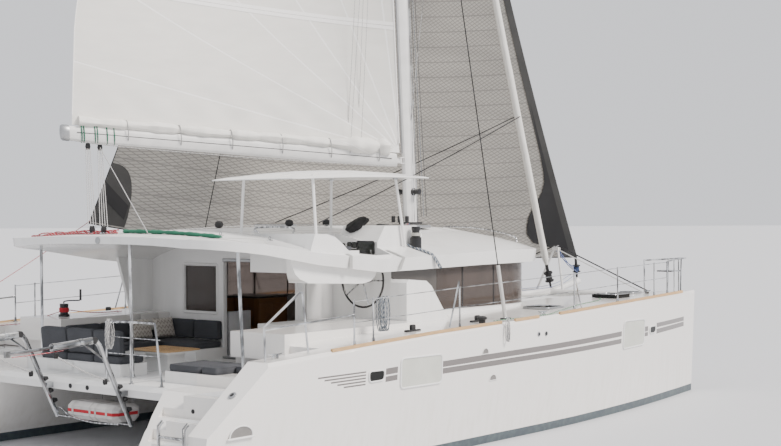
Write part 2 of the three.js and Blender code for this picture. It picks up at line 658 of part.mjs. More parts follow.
function roofPost({ top, foot }) {
  const [x, y, z] = foot;
  const post = rod(at(x, y, z - 30), at(...top, 3120), 24, 10);
  return underRoof(post.subtract(box(x - 100, x + 100, y - 100, y + 100, z - 100, z + GAP)));
}

// Rig

const mastAxisX = (z) => MAST_X - MAST_RAKE * (z - 3300);

function mast() {
  const section = (z, long, wide) => Array.from({ length: 14 }, (_, k) => {
    const angle = (2 * Math.PI * k) / 14;
    return at(mastAxisX(z) + (long / 2) * Math.cos(angle), (wide / 2) * Math.sin(angle), z);
  });
  const stops = [[MAST_FOOT, 310, 195], [17500, 310, 195], [21500, 230, 150], [MAST_TOP, 200, 130]];
  const tube = loft(stops.map((row) => section(...row)));
  const collar = loft([[MAST_FOOT, 430, 300], [3345, 420, 290]].map((r) => section(...r)));
  const spreaders = [[9600, 950], [14300, 760]].map(([z, reach]) => {
    const tip = (side) => at(mastAxisX(z), side * reach, z + 60);
    return bar([tip(-1), at(mastAxisX(z), 0, z), tip(1)], [22, 48, 22], 8);
  });
  const crane = box(mastAxisX(MAST_TOP) - 260, mastAxisX(MAST_TOP) + 260, -35, 35, MAST_TOP - 90, MAST_TOP);
  const fork = [-59, 45].map((z) => box(-35, 80, -30, 30, z, z + 14));
  const lug = placed(union(fork), boomFrame(0));
  return onRoof(union([tube, collar, ...spreaders, crane, lug]));
}

// The boom's own frame at its pin: the mast's line upright, the boom towards -X, swung by an angle in degrees
function boomFrame(angle) {
  const rake = new THREE.Matrix4().makeRotationY(-Math.atan(MAST_RAKE));
  const swing = new THREE.Matrix4().makeRotationZ(THREE.MathUtils.degToRad(angle));
  const frame = new THREE.Matrix4().makeTranslation(mastAxisX(GOOSENECK), 0, GOOSENECK).multiply(rake);
  return frame.multiply(new THREE.Matrix4().makeTranslation(-BOOM_PIN, 0, 0)).multiply(swing);
}

const boomHeight = (reach) => BOOM_RISE * reach;

function boom() {
  const section = (reach, deep, wide) => Array.from({ length: 12 }, (_, k) => {
    const angle = (2 * Math.PI * (k + 0.5)) / 12;
    const z = boomHeight(reach) + (deep / 2) * Math.sin(angle);
    return at(-reach, (wide / 2) * Math.sign(Math.cos(angle)) * Math.abs(Math.cos(angle)) ** 0.7, z);
  });
  const rows = [[90, 240, 150], [450, BOOM_DEPTH, 175], [5500, BOOM_DEPTH, 175], [BOOM_LENGTH, 230, 150]];
  const tongue = box(-110, 0, -18, 18, -40, 40);
  const eye = rod(at(0, 0, GAP - 45), at(0, 0, 45 - GAP), 24, 12);
  return placed(union([loft(rows.map((r) => section(...r))), tongue, eye]), boomFrame(BOOM_ANGLE));
}

const BOOM_DEPTH = 290;
const MAINSAIL_FOOT = (BOOM_DEPTH / 2) * Math.sin((5 * Math.PI) / 12) + GAP;
const MAINSAIL_ROWS = 13;
const MAINSAIL_COLUMNS = 9;
// Width of the sail at each share of its height, in pairs
const MAINSAIL_WIDTHS = [
  [0, 5850], [0.1, 5700], [0.25, 5200], [0.5, 4150], [0.75, 2950], [0.92, 1950], [1, 1450],
];

function mainsail() {
  const rows = [];
  const ways = [];
  for (let i = 0; i < MAINSAIL_ROWS; i++) {
    const rise = i / (MAINSAIL_ROWS - 1);
    const width = read(MAINSAIL_WIDTHS, rise);
    const twist = THREE.MathUtils.degToRad(-11 * rise);
    rows.push([]);
    ways.push([]);
    for (let j = 0; j < MAINSAIL_COLUMNS; j++) {
      const share = j / (MAINSAIL_COLUMNS - 1);
      const reach = 15 + width * share;
      const depth = 0.1 * Math.min(1, rise * 5 + 0.1);
      const belly = width * depth * 4 * share * (1 - share) * (1.25 - 0.5 * share);
      const [x, y] = [-reach, belly];
      const foot = MAINSAIL_FOOT + boomHeight(reach);
      const z = foot + rise * (SAIL_HEIGHT - 0.55 * boomHeight(reach));
      rows[i].push(at(x * Math.cos(twist) - y * Math.sin(twist), x * Math.sin(twist) + y * Math.cos(twist), z));
      ways[i].push(at(0, 1, 0));
    }
  }
  return placed(skin(rows, ways, 16), boomFrame(BOOM_ANGLE));
}

const HEADSAIL = {
  tack: at(7420, 0, 2560), head: at(1080, 0, 19200), clew: at(-2250, 4250, 3350),
  rows: 15, columns: 10, sag: 420, belly: 0.11,
};

// The light-air sail: a bellied sheet between a sagging luff and a hollow leech
function lightSail() {
  const { tack, head, clew, rows: m, columns: n, sag, belly } = HEADSAIL;
  const leeward = at(0.35, 1, 0).normalize();
  const rows = [];
  const ways = [];
  for (let i = 0; i < m; i++) {
    const rise = i / (m - 1);
    const luff = tack.clone().lerp(head, rise);
    luff.x -= sag * 4 * rise * (1 - rise) * 0.8;
    luff.y += sag * 4 * rise * (1 - rise) * 0.35;
    const leech = clew.clone().lerp(head, rise);
    leech.x += 260 * 4 * rise * (1 - rise);
    const width = luff.distanceTo(leech);
    rows.push([]);
    ways.push([]);
    for (let j = 0; j < n; j++) {
      const share = j / (n - 1);
      const lift = width * belly * 4 * share * (1 - share) * (1.3 - 0.6 * share);
      const point = luff.clone().lerp(leech, share).addScaledVector(leeward, lift);
      point.z -= 240 * 4 * share * (1 - share) * (1 - rise) ** 3;
      rows[i].push(point);
      ways[i].push(leeward);
    }
  }
  rows[m - 1] = rows[m - 1].map((p, j) => p.clone().add(at((-50 * j) / n, (30 * j) / n, 0)));
  const sheet = skin(rows, ways, 14);
  const furler = bar([
    at(POLE_TIP.x - 60, 0, POLE_TIP.z + 75), at(POLE_TIP.x - 62, 0, 2260), at(POLE_TIP.x - 66, 0, 2262),
    at(POLE_TIP.x - 72, 0, 2400), at(POLE_TIP.x - 76, 0, 2402), at(tack.x + 6, 0, tack.z + 60),
  ], [16, 16, 75, 75, 22, 22], 12);
  return sheet.add(furler);
}

// The jib rolled on its stay, with the drum at its foot
function furledJib() {
  const foot = at(6440, 0, CROSSBEAM_Z);
  const top = at(mastAxisX(HOUNDS), 0, HOUNDS);
  const way = top.clone().sub(foot).normalize();
  const reach = (d) => foot.clone().addScaledVector(way, d);
  const whole = top.distanceTo(foot);
  const stops = [
    [0, 22], [250, 22], [255, 95], [450, 95], [455, 32], [640, 34], [700, 62], [5000, 66], [11000, 52],
    [whole - 1400, 34], [whole - 1395, 12], [whole, 12],
  ];
  const tube = bar(stops.map(([d]) => reach(d)), stops.map(([, r]) => r), 12);
  return tube.subtract(shifted(spar, GAP, 0, 0)).subtract(shifted(beam, 0, 0, GAP));
}

// A cap shroud from its chainplate to the hounds, with a turnbuckle at its foot
function shroud() {
  const foot = at(CHAINPLATE.x, CHAINPLATE.y, deckHeight(CHAINPLATE.x) - 20);
  const top = at(mastAxisX(HOUNDS), 0, HOUNDS);
  const way = top.clone().sub(foot).normalize();
  const reach = (d) => foot.clone().addScaledVector(way, d);
  const whole = top.distanceTo(foot);
  const stops = [[0, 26], [130, 26], [135, 15], [330, 15], [335, 24], [640, 24], [645, 9], [whole, 9]];
  const wire = bar(stops.map(([d]) => reach(d)), stops.map(([, r]) => r), 8);
  const base = deckHeight(foot.x);
  const plate = box(foot.x - 90, foot.x + 90, foot.y - 40, foot.y + 40, base - 20, base + 25);
  return wire.add(plate).subtract(shifted(hull, 0, 0, GAP)).subtract(shifted(spar, 0, GAP, 0));
}

// Foredeck: crossbeam with the pole and the striker over it, and the nets

function frontBeam() {
  const whole = rod(at(CROSSBEAM_X, -2890, CROSSBEAM_Z), at(CROSSBEAM_X, 2890, CROSSBEAM_Z), 78, 14);
  const cut = whole.subtract(shifted(hull, 0, -GAP, 0)).subtract(shifted(mirrored(hull), 0, GAP, 0));
  const spots = [at(3500, 0, 1840), at(CROSSBEAM_X, 0, 1870), at(POLE_TIP.x, 0, POLE_TIP.z)];
  const long = bar(spots, [70, 75, 62], 12);
  const pole = long.subtract(box(3000, INNER_SIDE_UP_TO + GAP, -200, 200, 1500, 2200));
  const eye = box(POLE_TIP.x - 100, POLE_TIP.x - 20, -22, 22, POLE_TIP.z, POLE_TIP.z + 75 - GAP);
  const apex = at(CROSSBEAM_X + 260, 0, 2760);
  const legs = [-1, 1].map((s) => {
    return rod(at(CROSSBEAM_X, s * 330, CROSSBEAM_Z + 20), at(apex.x, s * 45, apex.z), 24, 8);
  });
  const cap = box(apex.x - 45, apex.x + 45, -75, 75, apex.z - 40, apex.z + 30);
  const stays = [-1, 1].map((s) => rod(apex, at(CROSSBEAM_X, s * 2330, CROSSBEAM_Z + 20), 11, 6));
  return union([cut, pole, eye, cap, ...legs, ...stays]);
}

function net() {
  const [aft, front] = [INNER_SIDE_UP_TO + GAP, CROSSBEAM_X - 78 - GAP];
  const outline = [[aft, 77], [front, 77], [front, 2560], [5400, 2330], [4600, 2040], [aft, 1950]];
  return raised(outline, 1830, 1842).subtract(shifted(hull, 0, -GAP, 0));
}

// Rails

const STANCHIONS = [-3800, -1820, 1400, 3070, 4850];
const RAIL_INSET = 150;
const LIFELINES = [310, 600];

function railFoot(x) {
  return at(x, outerSide(x) - RAIL_INSET, deckHeight(x) - 20);
}

function sideRail() {
  const posts = STANCHIONS.map((x) => rod(railFoot(x), railFoot(x).add(at(0, 0, 640)), 13, 6));
  const spots = [-4200, ...STANCHIONS, 5600];
  const line = (height) => bar(spots.map((x) => railFoot(x).add(at(0, 0, height + 20))), 6, 5);
  const ends = [-4200, 5600].map((x) => rod(railFoot(x), railFoot(x).add(at(0, 0, 640)), 14, 8));
  const whole = union([...posts, ...ends, ...LIFELINES.map(line), pulpit(), gate()]);
  return whole.subtract(shifted(hull, 0, 0, GAP));
}

// The bow rail round the hull's end, with a seat over the deck
function pulpit() {
  const outer = (x, up) => at(x, outerSide(x) - 130, deckHeight(x) + up);
  const inner = (x, up) => at(x, innerSide(x) + 120, deckHeight(x) + up);
  const spots = [
    outer(5600, 620), outer(6100, 640), outer(6720, 640), inner(6600, 640), inner(5800, 620), inner(5800, -20),
  ];
  const posts = [
    rod(outer(6450, 640), outer(6400, -20), 14, 8), rod(inner(6350, 635), inner(6320, -20), 14, 8),
  ];
  const stays = [5980, 6270].map((x) => rod(outer(x, -20), outer(x, 640), 12, 6));
  const seat = box(5940, 6310, 2740, 3060, deckHeight(6000) + 400, deckHeight(6000) + 425);
  return union([bar(spots, 15, 8), ...posts, ...stays, seat]);
}

// The boarding gate's rail over the stern step, and the low rail from it to the first lifeline post
function gate() {
  const frame = [[-5870, -15], [-5890, 440], [-5240, 810], [-5180, 800], [-5070, -20]];
  const y = HALF_BEAM - 190;
  const arch = bar(frame.map(([x, up]) => at(x, y, deckHeight(x) + up)), 15, 8);
  const low = rod(at(-5890, y, deckHeight(-5890) + 400), railFoot(-4200).add(at(0, 0, 440)), 14, 8);
  return arch.add(low);
}

function sternRail() {
  const z = FLOOR - 30;
  const bend = [
    [-5770, -520, z], [-5780, -520, 1990], [-5780, -1040, 2010], [-5780, -1540, 2010], [-5770, -1680, z],
  ];
  const frame = bar(bend.map((p) => at(...p)), 16, 8);
  const middle = rod(at(-5780, -1040, z), at(-5780, -1040, 2005), 13, 8);
  const lines = [1560, 1790].map((h) => rod(at(-5776, -520, h), at(-5777, -1640, h), 7, 6));
  return onDeck(union([frame, middle, ...lines]));
}

// Davits with the liferaft's cradle between their feet

const DAVITS = [-1000, 650];
const CRADLE_Z = 575;

function davits() {
  const parts = DAVITS.map((y) => {
    const bend = [[-5735, CRADLE_Z - 10], [-6300, 1725], [-6345, 1775], [-6420, 1800], [-6560, 1790]];
    const strut = bar(bend.map(([x, z]) => at(x, y, z)), 36, 10);
    const arm = bar([at(-6420, y, 1796), at(-7100, y, 1748)], 50, 10);
    const tip = bar([at(-7000, y, 1755), at(-7800, y, 1712)], 20, 8);
    const bracket = box(-5960, BEAM_AFT - GAP, y - 60, y + 60, 1000, 1070);
    const sheave = box(-7830, -7750, y - 18, y + 18, 1672, 1752);
    return union([strut, arm, tip, bracket, sheave]);
  });
  const lowRod = rod(at(-5735, DAVITS[0] - 30, CRADLE_Z), at(-5735, DAVITS[1] + 30, CRADLE_Z), 14, 8);
  const slings = [-640, 40].map((y) => {
    return bar([at(-5735, y, CRADLE_Z), at(-5400, y, CRADLE_Z), at(-5400, y, 940)], 12, 6);
  });
  return union([...parts, lowRod, ...slings]).subtract(shifted(deck, 0, 0, -GAP));
}

// The liferaft's canister, resting in the davits' slings
function liferaft() {
  const outline = [
    [-245, -60], [-245, 70], [-170, 125], [170, 125], [245, 70], [245, -60], [170, -125], [-170, -125],
  ];
  const ends = [[-840, 0.72], [-780, 1], [180, 1], [240, 0.72]];
  const ring = ([y, tight]) => outline.map(([x, z]) => at(-5660 + x * tight, y, 711 + z * tight));
  return loft(ends.map(ring)).subtract(shifted(davitPair, 0, 0, GAP));
}

const LADDER = { x: -7012, z: 300, y0: 2990, y1: 3450, height: 590 };

function boardingLadder() {
  const { x, z, y0, y1, height } = LADDER;
  const bend = [at(x, 0, z - 5), at(x, 0, z + height), at(x + 70, 0, z + height + 60)];
  const rails = [y0, y1].map((y) => bar(bend.map((p) => at(p.x, -y, p.z)), 13, 8));
  const rungs = [0.02, 0.27, 0.52, 0.77].map((share) => {
    const height = z + LADDER.height * share;
    return rod(at(x, -y0, height), at(x, -y1, height), 13, 8);
  });
  const knuckles = [y0, y1].map((y) => rod(at(x, -y - 25, z), at(x, -y + 25, z), 31, 12));
  return union([...rails, ...rungs, ...knuckles]);
}

// Cockpit and saloon furniture

const BENCH_TOP = 1330;

const aftBench = () => box(-5330, -4830, -280, HULL_INNER - GAP, FLOOR - 50, BENCH_TOP);

function aftBenchCushion() {
  const low = BENCH_TOP + GAP;
  const outline = [[-5322, low], [-4835, low], [-4835, 1455], [-5165, 1455], [-5210, 1815], [-5322, 1815]];
  return along(outline, -255, 1600);
}

const SETTEE = { base: 1330, seat: 1450, back: 1765 };

// The settee's base: along the port side and across the bulkhead
function settee() {
  const [side, front] = [HULL_INNER - GAP, BULKHEAD_X - WALL / 2 - GAP];
  const plan = [[-4660, side], [-4660, 1320], [-3060, 1320], [-3060, 570], [front, 570], [front, side]];
  return raised(plan, FLOOR - 50, SETTEE.base);
}

function setteeCushion() {
  const side = HULL_INNER - 3;
  const plan = [[-4650, side], [-4650, 1330], [-3070, 1330], [-3070, 580], [-2440, 580], [-2440, side]];
  return raised(plan, SETTEE.base + GAP, SETTEE.seat);
}

function setteeBack() {
  const side = HULL_INNER - 3;
  const plan = [
    [-4650, side], [-4650, side - 130], [-2570, side - 130], [-2570, 580], [-2440, 580], [-2440, side],
  ];
  return raised(plan, SETTEE.seat + GAP, SETTEE.back);
}

const pillow = () => box(-3290, -2800, 1640, 1764, SETTEE.seat + GAP, 1790);

// Lounge at the starboard quarter: a moulded seat beside the engine hatch, and its cushion in two parts
const lounge = () => box(-5340, -4610, GAP - HULL_INNER, -1250, FLOOR - 50, LANDING);

const LOUNGE_TOP = 1430;

function loungeCushion() {
  const plan = [
    [-5325, -1260], [-5325, -2300], [-5080, -2540], [-4900, -2650], [HATCH_FRONT + 9, -2650],
    [HATCH_FRONT + 9, -2965], [-4620, -3080], [-4620, -1260],
  ];
  return raised(plan.reverse(), LANDING + GAP, LOUNGE_TOP);
}

function hatchCushion() {
  const plan = [[-4890, -2700], [HATCH_FRONT, -2950], [HATCH_FRONT, -2700]];
  return raised(plan, HATCH_TOP + GAP, LOUNGE_TOP);
}

function cockpitTable() {
  const top = raised([[-4560, -420], [-3900, -420], [-3900, 420], [-4560, 420]], 1425, 1462);
  const base = box(-4400, -4060, -250, 250, FLOOR + GAP, 1430);
  return top.add(base);
}

function galley() {
  const along = box(-2200, -500, 1600, 1890, FLOOR + GAP, 2050);
  return along.add(box(-1200, -500, 1000, 1610, FLOOR + GAP, 2050));
}

function saloonSeat() {
  const plan = [[200, -1850], [1900, -1850], [1900, 700], [1400, 700], [1400, -1250], [200, -1250]];
  return raised(plan, FLOOR + GAP, 1600);
}

// A winch whose base plate is at a height, on a foot that reaches down from it
function winch(x, y, z, foot = 0) {
  const profile = [[0, -foot], [92, -foot], [92, 30], [68, 45], [60, 120], [72, 165], [72, 205], [0, 205]];
  return turned(profile, at(x, y, z));
}

// Assembly, in an order where each piece is made after what it rests on

const hull = union([portHull(), foreHatchSeat(), rudderBearing()]);
const deck = union([bridgeDeck(), aftBench(), settee(), lounge(), helmLocker()]);
const roof = coachroof();
const overRoof = roofLoft(() => 4500, ceiling);
const belowRoof = roofLoft(roofTop, () => 2000);
const under = union([hull, mirrored(hull), deck].map((solid) => shifted(solid, 0, 0, GAP)));
const spar = mast();
const beam = frontBeam();
const davitPair = davits();

function onDeck(solid) {
  return solid.subtract(under);
}

function underRoof(solid) {
  return solid.subtract(shifted(overRoof, 0, 0, -GAP));
}

function onRoof(solid) {
  return solid.subtract(shifted(belowRoof, 0, 0, GAP));
}

const pairs = {
  keel: ["antifoul", keel()],
  rudder: ["antifoul", rudder()],
  saildrive: ["black", saildrive()],
  propeller: ["bronze", propeller()],
  engine: ["engine", engine()],
  engine_hatch: ["gelcoat", engineHatch()],
  fore_hatch: ["glass", foreHatch()],
  shroud: ["stainless", shroud()],
  net: ["net", net()],
  side_rail: ["stainless", sideRail()],
};

const singles = {
  hull_port: ["gelcoat", hull],
  hull_starboard: ["gelcoat", mirrored(hull)],
  bridge_deck: ["gelcoat", deck],
  saloon_walls: ["gelcoat", saloonWalls()],
  saloon_glass: ["glass", saloonGlass()],
  aft_bulkhead: ["gelcoat", aftBulkhead()],
  bulkhead_pane: ["glass", bulkheadPane()],
  door_leaf_inner: ["glass", doorLeaf(1)],
  door_leaf_outer: ["glass", doorLeaf(0)],
  coachroof: ["gelcoat", roof],
  helm_seat: ["gelcoat", helmSeat()],
  helm_cushion: ["cushion", helmCushion()],
  helm_console: ["gelcoat", helmConsole()],
  steering_wheel: ["black", steeringWheel()],
  helm_hardtop: ["gelcoat", hardtop()],
  step_pod: ["gelcoat", stepPod()],
  mast: ["spar", spar],
  boom: ["spar", boom()],
  mainsail: ["sailcloth", mainsail()],
  light_sail: ["laminate", lightSail()],
  furled_jib: ["sailcloth", furledJib()],
  front_beam: ["spar", beam],
  stern_rail: ["stainless", sternRail()],
  davits: ["stainless", davitPair],
  liferaft: ["gelcoat", liferaft()],
  boarding_ladder: ["stainless", boardingLadder()],
  aft_bench_cushion: ["cushion", aftBenchCushion()],
  settee_cushion: ["cushion", setteeCushion()],
  settee_back: ["cushion", setteeBack()],
  pillow: ["pillow", pillow()],
  lounge_cushion: ["cushion", loungeCushion()],
  hatch_cushion: ["cushion", hatchCushion()],
  cockpit_table: ["teak", cockpitTable()],
  galley: ["joinery", galley()],
  saloon_seat: ["joinery", saloonSeat()],
  winch_helm: ["black", onRoof(winch(-930, -2240, 3090, 250))],
  winch_port: ["black", winch(-4250, 2400, COAMING.top + GAP)],
};

const boat = new THREE.Group();

function addPiece(name, finish, solid) {
  const mesh = new THREE.Mesh(geometryOf(solid), finishes[finish]);
  mesh.name = name;
  boat.add(mesh);
}

for (const [name, [finish, solid]] of Object.entries(singles)) addPiece(name, finish, solid);
for (const [name, [finish, solid]] of Object.entries(pairs)) {
  addPiece(`${name}_port`, finish, solid);
  addPiece(`${name}_starboard`, finish, mirrored(solid));
}
for (const [name, spots] of Object.entries(ROOF_POSTS)) addPiece(name, "stainless", roofPost(spots));

export default boat;
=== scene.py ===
"""A cruising sailing catamaran afloat, dressed over her CAD frame. Metres, +X to the bows, +Y to port."""
import json
import math

import bmesh
import bpy
import numpy as np
from mathutils import Matrix, Vector


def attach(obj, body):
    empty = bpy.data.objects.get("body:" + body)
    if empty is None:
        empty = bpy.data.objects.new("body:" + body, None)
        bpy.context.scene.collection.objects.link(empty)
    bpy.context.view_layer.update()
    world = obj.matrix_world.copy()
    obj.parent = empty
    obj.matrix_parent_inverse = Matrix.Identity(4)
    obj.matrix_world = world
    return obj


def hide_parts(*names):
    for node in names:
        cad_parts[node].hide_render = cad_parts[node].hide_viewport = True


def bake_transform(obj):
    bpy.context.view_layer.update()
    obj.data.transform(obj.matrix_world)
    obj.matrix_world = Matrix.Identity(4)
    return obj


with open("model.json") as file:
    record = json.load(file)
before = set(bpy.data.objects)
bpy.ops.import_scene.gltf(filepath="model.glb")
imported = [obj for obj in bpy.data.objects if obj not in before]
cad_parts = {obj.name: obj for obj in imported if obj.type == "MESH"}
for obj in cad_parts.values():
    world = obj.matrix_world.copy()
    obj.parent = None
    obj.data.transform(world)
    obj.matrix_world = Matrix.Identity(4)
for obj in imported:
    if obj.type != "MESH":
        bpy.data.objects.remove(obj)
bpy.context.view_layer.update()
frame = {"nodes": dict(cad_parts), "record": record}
nodes = frame["nodes"]

# Driving dimensions, the same as the solids' own

HALF_LENGTH, HULL_CENTRE = 6.98, 2.975
SHEER = np.array([
    (-6.98, 1.529), (-6, 1.582), (-5, 1.632), (-4, 1.678), (-2.5, 1.74), (2.5, 1.88), (3.6, 1.897),
    (4.8, 1.91), (6.98, 1.92),
])
DECK_RISE = 0.045
ROOF_LIP = np.array([
    (-5.5, 3.035), (-4.6, 2.93), (-3.5, 2.76), (-2.1, 2.61), (-1, 2.625), (0.5, 2.65), (2.95, 2.665),
])
ROOF_FASCIA = np.array([(-5.5, 0.12), (-4.6, 0.15), (-2.1, 0.2), (1.5, 0.23), (2.95, 0.2)])
ROOF_SPINE = np.array([(-5.5, 3.19), (-4.6, 3.25), (-2.1, 3.3), (1.5, 3.3), (2.4, 3.18), (2.95, 2.905)])
MAST_X, MAST_RAKE, MAST_STEP, GOOSENECK, HOUNDS = 1.74, 0.061, 3.3, 4.48, 18.3
BOOM_PIN, BOOM_ANGLE, BOOM_RISE = 0.215, -29.4, 0.121
MAINSAIL_WIDTHS = np.array([
    (0, 5.85), (0.1, 5.7), (0.25, 5.2), (0.5, 4.15), (0.75, 2.95), (0.92, 1.95), (1, 1.45),
])
SAIL_HEIGHT = 17.6
TACK, HEAD, CLEW = np.array((7.42, 0, 2.56)), np.array((1.08, 0, 19.2)), np.array((-2.25, 4.25, 3.35))
SHROUD_FOOT, SHROUD_WAY = np.array((-0.4, 3.6, 1.83)), np.array((0.0743, -0.2184, 1.0))
WHEEL = np.array((-1.912, -1.96, 2.47))
DAVIT_Y = (-1.0, 0.65)
RAFT_X, RAFT_Z = -5.66, 0.713

SIDES = ((1, "port"), (-1, "starboard"))
UPRIGHT = np.eye(3)
UP = UPRIGHT[2]

# Camera, from the starboard quarter a little above the roof

CAMERA = {"place": (-18.92, -16.53, 3.49), "yaw": 0.882, "pitch": -0.006, "roll": -0.004, "lens": 66.53}


def make_camera():
    """A camera that looks along a compass yaw, a pitch and a roll, all in radians."""
    yaw, pitch, roll = CAMERA["yaw"], CAMERA["pitch"], CAMERA["roll"]
    ahead = Vector((math.sin(yaw) * math.cos(pitch), math.cos(yaw) * math.cos(pitch), math.sin(pitch)))
    level = Vector((math.cos(yaw), -math.sin(yaw), 0))
    upright = level.cross(ahead)
    right = math.cos(roll) * level + math.sin(roll) * upright
    up = -math.sin(roll) * level + math.cos(roll) * upright
    data = bpy.data.cameras.new("camera")
    data.lens, data.sensor_width, data.clip_end = CAMERA["lens"], 36.0, 400
    camera = bpy.data.objects.new("camera", data)
    turn = Matrix((right, up, -ahead)).transposed().to_4x4()
    camera.matrix_world = Matrix.Translation(CAMERA["place"]) @ turn
    bpy.context.scene.collection.objects.link(camera)
    bpy.context.scene.camera = camera


make_camera()


# Shapes: each function gives an array of points and a list of faces that point outwards

def unit(ways):
    """Ways cut or stretched to a length of one."""
    return ways / np.maximum(np.linalg.norm(ways, axis=-1, keepdims=True), 1e-9)


def angles(count):
    """Angles of one full turn, evenly spaced."""
    return np.linspace(0, 2 * math.pi, count, endpoint=False)


def grid(rows, columns, u=(0, 1), v=(0, 1)):
    """Two tables of numbers: the first grows from row to row, the second from column to column."""
    return np.meshgrid(np.linspace(*u, rows), np.linspace(*v, columns), indexing="ij")


def grid_faces(rows, columns, closed=False, looped=False):
    """Four-sided faces over a grid of points, joined round its columns when closed, its rows when looped."""
    i, j = np.meshgrid(np.arange(rows - (not looped)), np.arange(columns - (not closed)), indexing="ij")
    after, beside = (i + 1) % rows, (j + 1) % columns
    corners = (i * columns + j, i * columns + beside, after * columns + beside, after * columns + j)
    return np.stack(corners, -1).reshape(-1, 4).tolist()


def sheet(points):
    """An open sheet over a grid of points."""
    return points.reshape(-1, 3), grid_faces(*points.shape[:2])


def capped(rings):
    """A closed shell through rings of points, each end closed by a fan to its middle."""
    rows, columns = rings.shape[:2]
    start = np.arange(columns)
    after = np.roll(start, -1)
    foot, top = np.full(columns, rows * columns), np.full(columns, rows * columns + 1)
    low = np.stack([after, start, foot], -1).tolist()
    high = np.stack([start, after, top], -1) + np.array([(rows - 1) * columns] * 2 + [0])
    points = np.vstack([rings.reshape(-1, 3), rings[[0, -1]].mean(axis=1)])
    return points, grid_faces(rows, columns, closed=True) + low + high.tolist()


def joined(shells):
    """A list of shells as one, with their corner numbers carried on; a single shell as it is."""
    if not isinstance(shells, list):
        return shells
    points, faces, count = [], [], 0
    for part, corners in shells:
        points.append(part)
        faces += [[c + count for c in face] for face in corners]
        count += len(part)
    return np.vstack(points), faces


def both(shells):
    """Shells with their mirror image on the other side, turned outwards again."""
    points, faces = joined(shells)
    return joined([(points, faces), (points * (1, -1, 1), [face[::-1] for face in faces])])


def curve(points, count=24):
    """Points along a smooth line through the given ones, a cubic between each two of them."""
    points = np.asarray(points, float)
    padded = np.vstack([2 * points[0] - points[1], points, 2 * points[-1] - points[-2]])
    reach = np.linspace(0, len(points) - 1, count)
    i = np.minimum(reach.astype(int), len(points) - 2)
    t = (reach - i)[:, None]
    a, b, c, d = padded[i], padded[i + 1], padded[i + 2], padded[i + 3]
    return 0.5 * (2 * b + (c - a) * t + (2 * a - 5 * b + 4 * c - d) * t**2 + (3 * b - a - 3 * c + d) * t**3)


def hanging(a, b, drop=0.0, count=16):
    """Points from a to b, lower than the straight line by a parabola that is deepest in the middle."""
    t = np.linspace(0, 1, count)[:, None]
    return np.asarray(a) * (1 - t) + np.asarray(b) * t - np.array((0, 0, drop)) * 4 * t * (1 - t)


def circles(path, radius, sides, ways):
    """Rings of points square to a path's own ways."""
    reference = UPRIGHT[np.argmin(np.abs(ways).max(axis=0))]
    side = unit(np.cross(reference, ways))
    other = np.cross(ways, side)
    angle = angles(sides)[:, None]
    radius = np.broadcast_to(radius, len(path))[:, None, None]
    around = np.cos(angle) * side[:, None] + np.sin(angle) * other[:, None]
    return path[:, None] + radius * around


def tube(path, radius, sides=8):
    """A round bar: circles square to the path, from its first point to its last."""
    path = np.asarray(path, float)
    return capped(circles(path, radius, sides, unit(np.gradient(path, axis=0))))


def bent_tube(points, radius=0.013, count=40):
    """A round bar along the smooth line through some points."""
    return tube(curve(points, count), radius)


def hoop(path, radius, sides=6):
    """A round bar along a closed path."""
    path = np.asarray(path, float)
    rings = circles(path, radius, sides, unit(np.roll(path, -1, axis=0) - np.roll(path, 1, axis=0)))
    return rings.reshape(-1, 3), grid_faces(len(path), sides, closed=True, looped=True)


def ring(centre, radius, way, thick):
    """A round bar bent to a circle square to a way."""
    angle = angles(24)[:, None]
    side = unit(np.cross(way, (0, 1, 0.01)))
    return hoop(centre + radius * (np.cos(angle) * side + np.sin(angle) * np.cross(way, side)), thick)


def turned(profile, centre, way=(0, 0, 1)):
    """A turned form: circles of the profile's radii at its heights along one way."""
    profile = np.asarray(profile, float)
    ways = np.repeat(unit(np.asarray(way, float))[None], len(profile), axis=0)
    return capped(circles(np.asarray(centre) + profile[:, 1:] * ways, profile[:, 0], 24, ways))


def plan(half_x, half_y, corner):
    """Outline of a rectangle with round corners, anticlockwise, five points to a corner."""
    quarter = np.arange(4)[:, None] * math.pi / 2
    angle = quarter + np.linspace(0, math.pi / 2, 5)
    x = np.sign(np.cos(quarter + 0.8)) * (half_x - corner) + corner * np.cos(angle)
    y = np.sign(np.sin(quarter + 0.8)) * (half_y - corner) + corner * np.sin(angle)
    return np.stack([x.ravel(), y.ravel()], -1)


def flat_outline(half_x, half_y, corner, centre):
    """A rounded rectangle lying level about a centre."""
    return np.column_stack([plan(half_x, half_y, corner), np.zeros(20)]) + centre


def cross_outline(half_y, half_z, corner, centre):
    """A rounded rectangle standing athwart the boat about a centre."""
    return np.column_stack([np.zeros(20), plan(half_y, half_z, corner)]) + centre


def axes(along, up=(0, 0, 1)):
    """Three square ways as rows: along, across and up."""
    along = unit(np.asarray(along, float))
    across = unit(np.cross(up, along))
    return np.array((along, across, np.cross(along, across)))


def block(centre, size, edge=0.01, ways=UPRIGHT, corner=0.0):
    """A block with rounded edges: rounded outlines, drawn in by a quarter circle near foot and top."""
    x, y, z = np.asarray(size, float) / 2
    turn = np.linspace(0, math.pi / 2, 4)
    inset = np.concatenate([edge * (1 - np.sin(turn)), edge * (1 - np.sin(turn[::-1]))])
    height = np.concatenate([edge * (1 - np.cos(turn)) - z, z - edge * (1 - np.cos(turn[::-1]))])
    corner = max(corner, edge)
    rings = [flat_outline(x - d, y - d, max(corner - d, 1e-4), (0, 0, h)) for d, h in zip(inset, height)]
    return capped(np.asarray(centre) + np.stack(rings) @ ways)


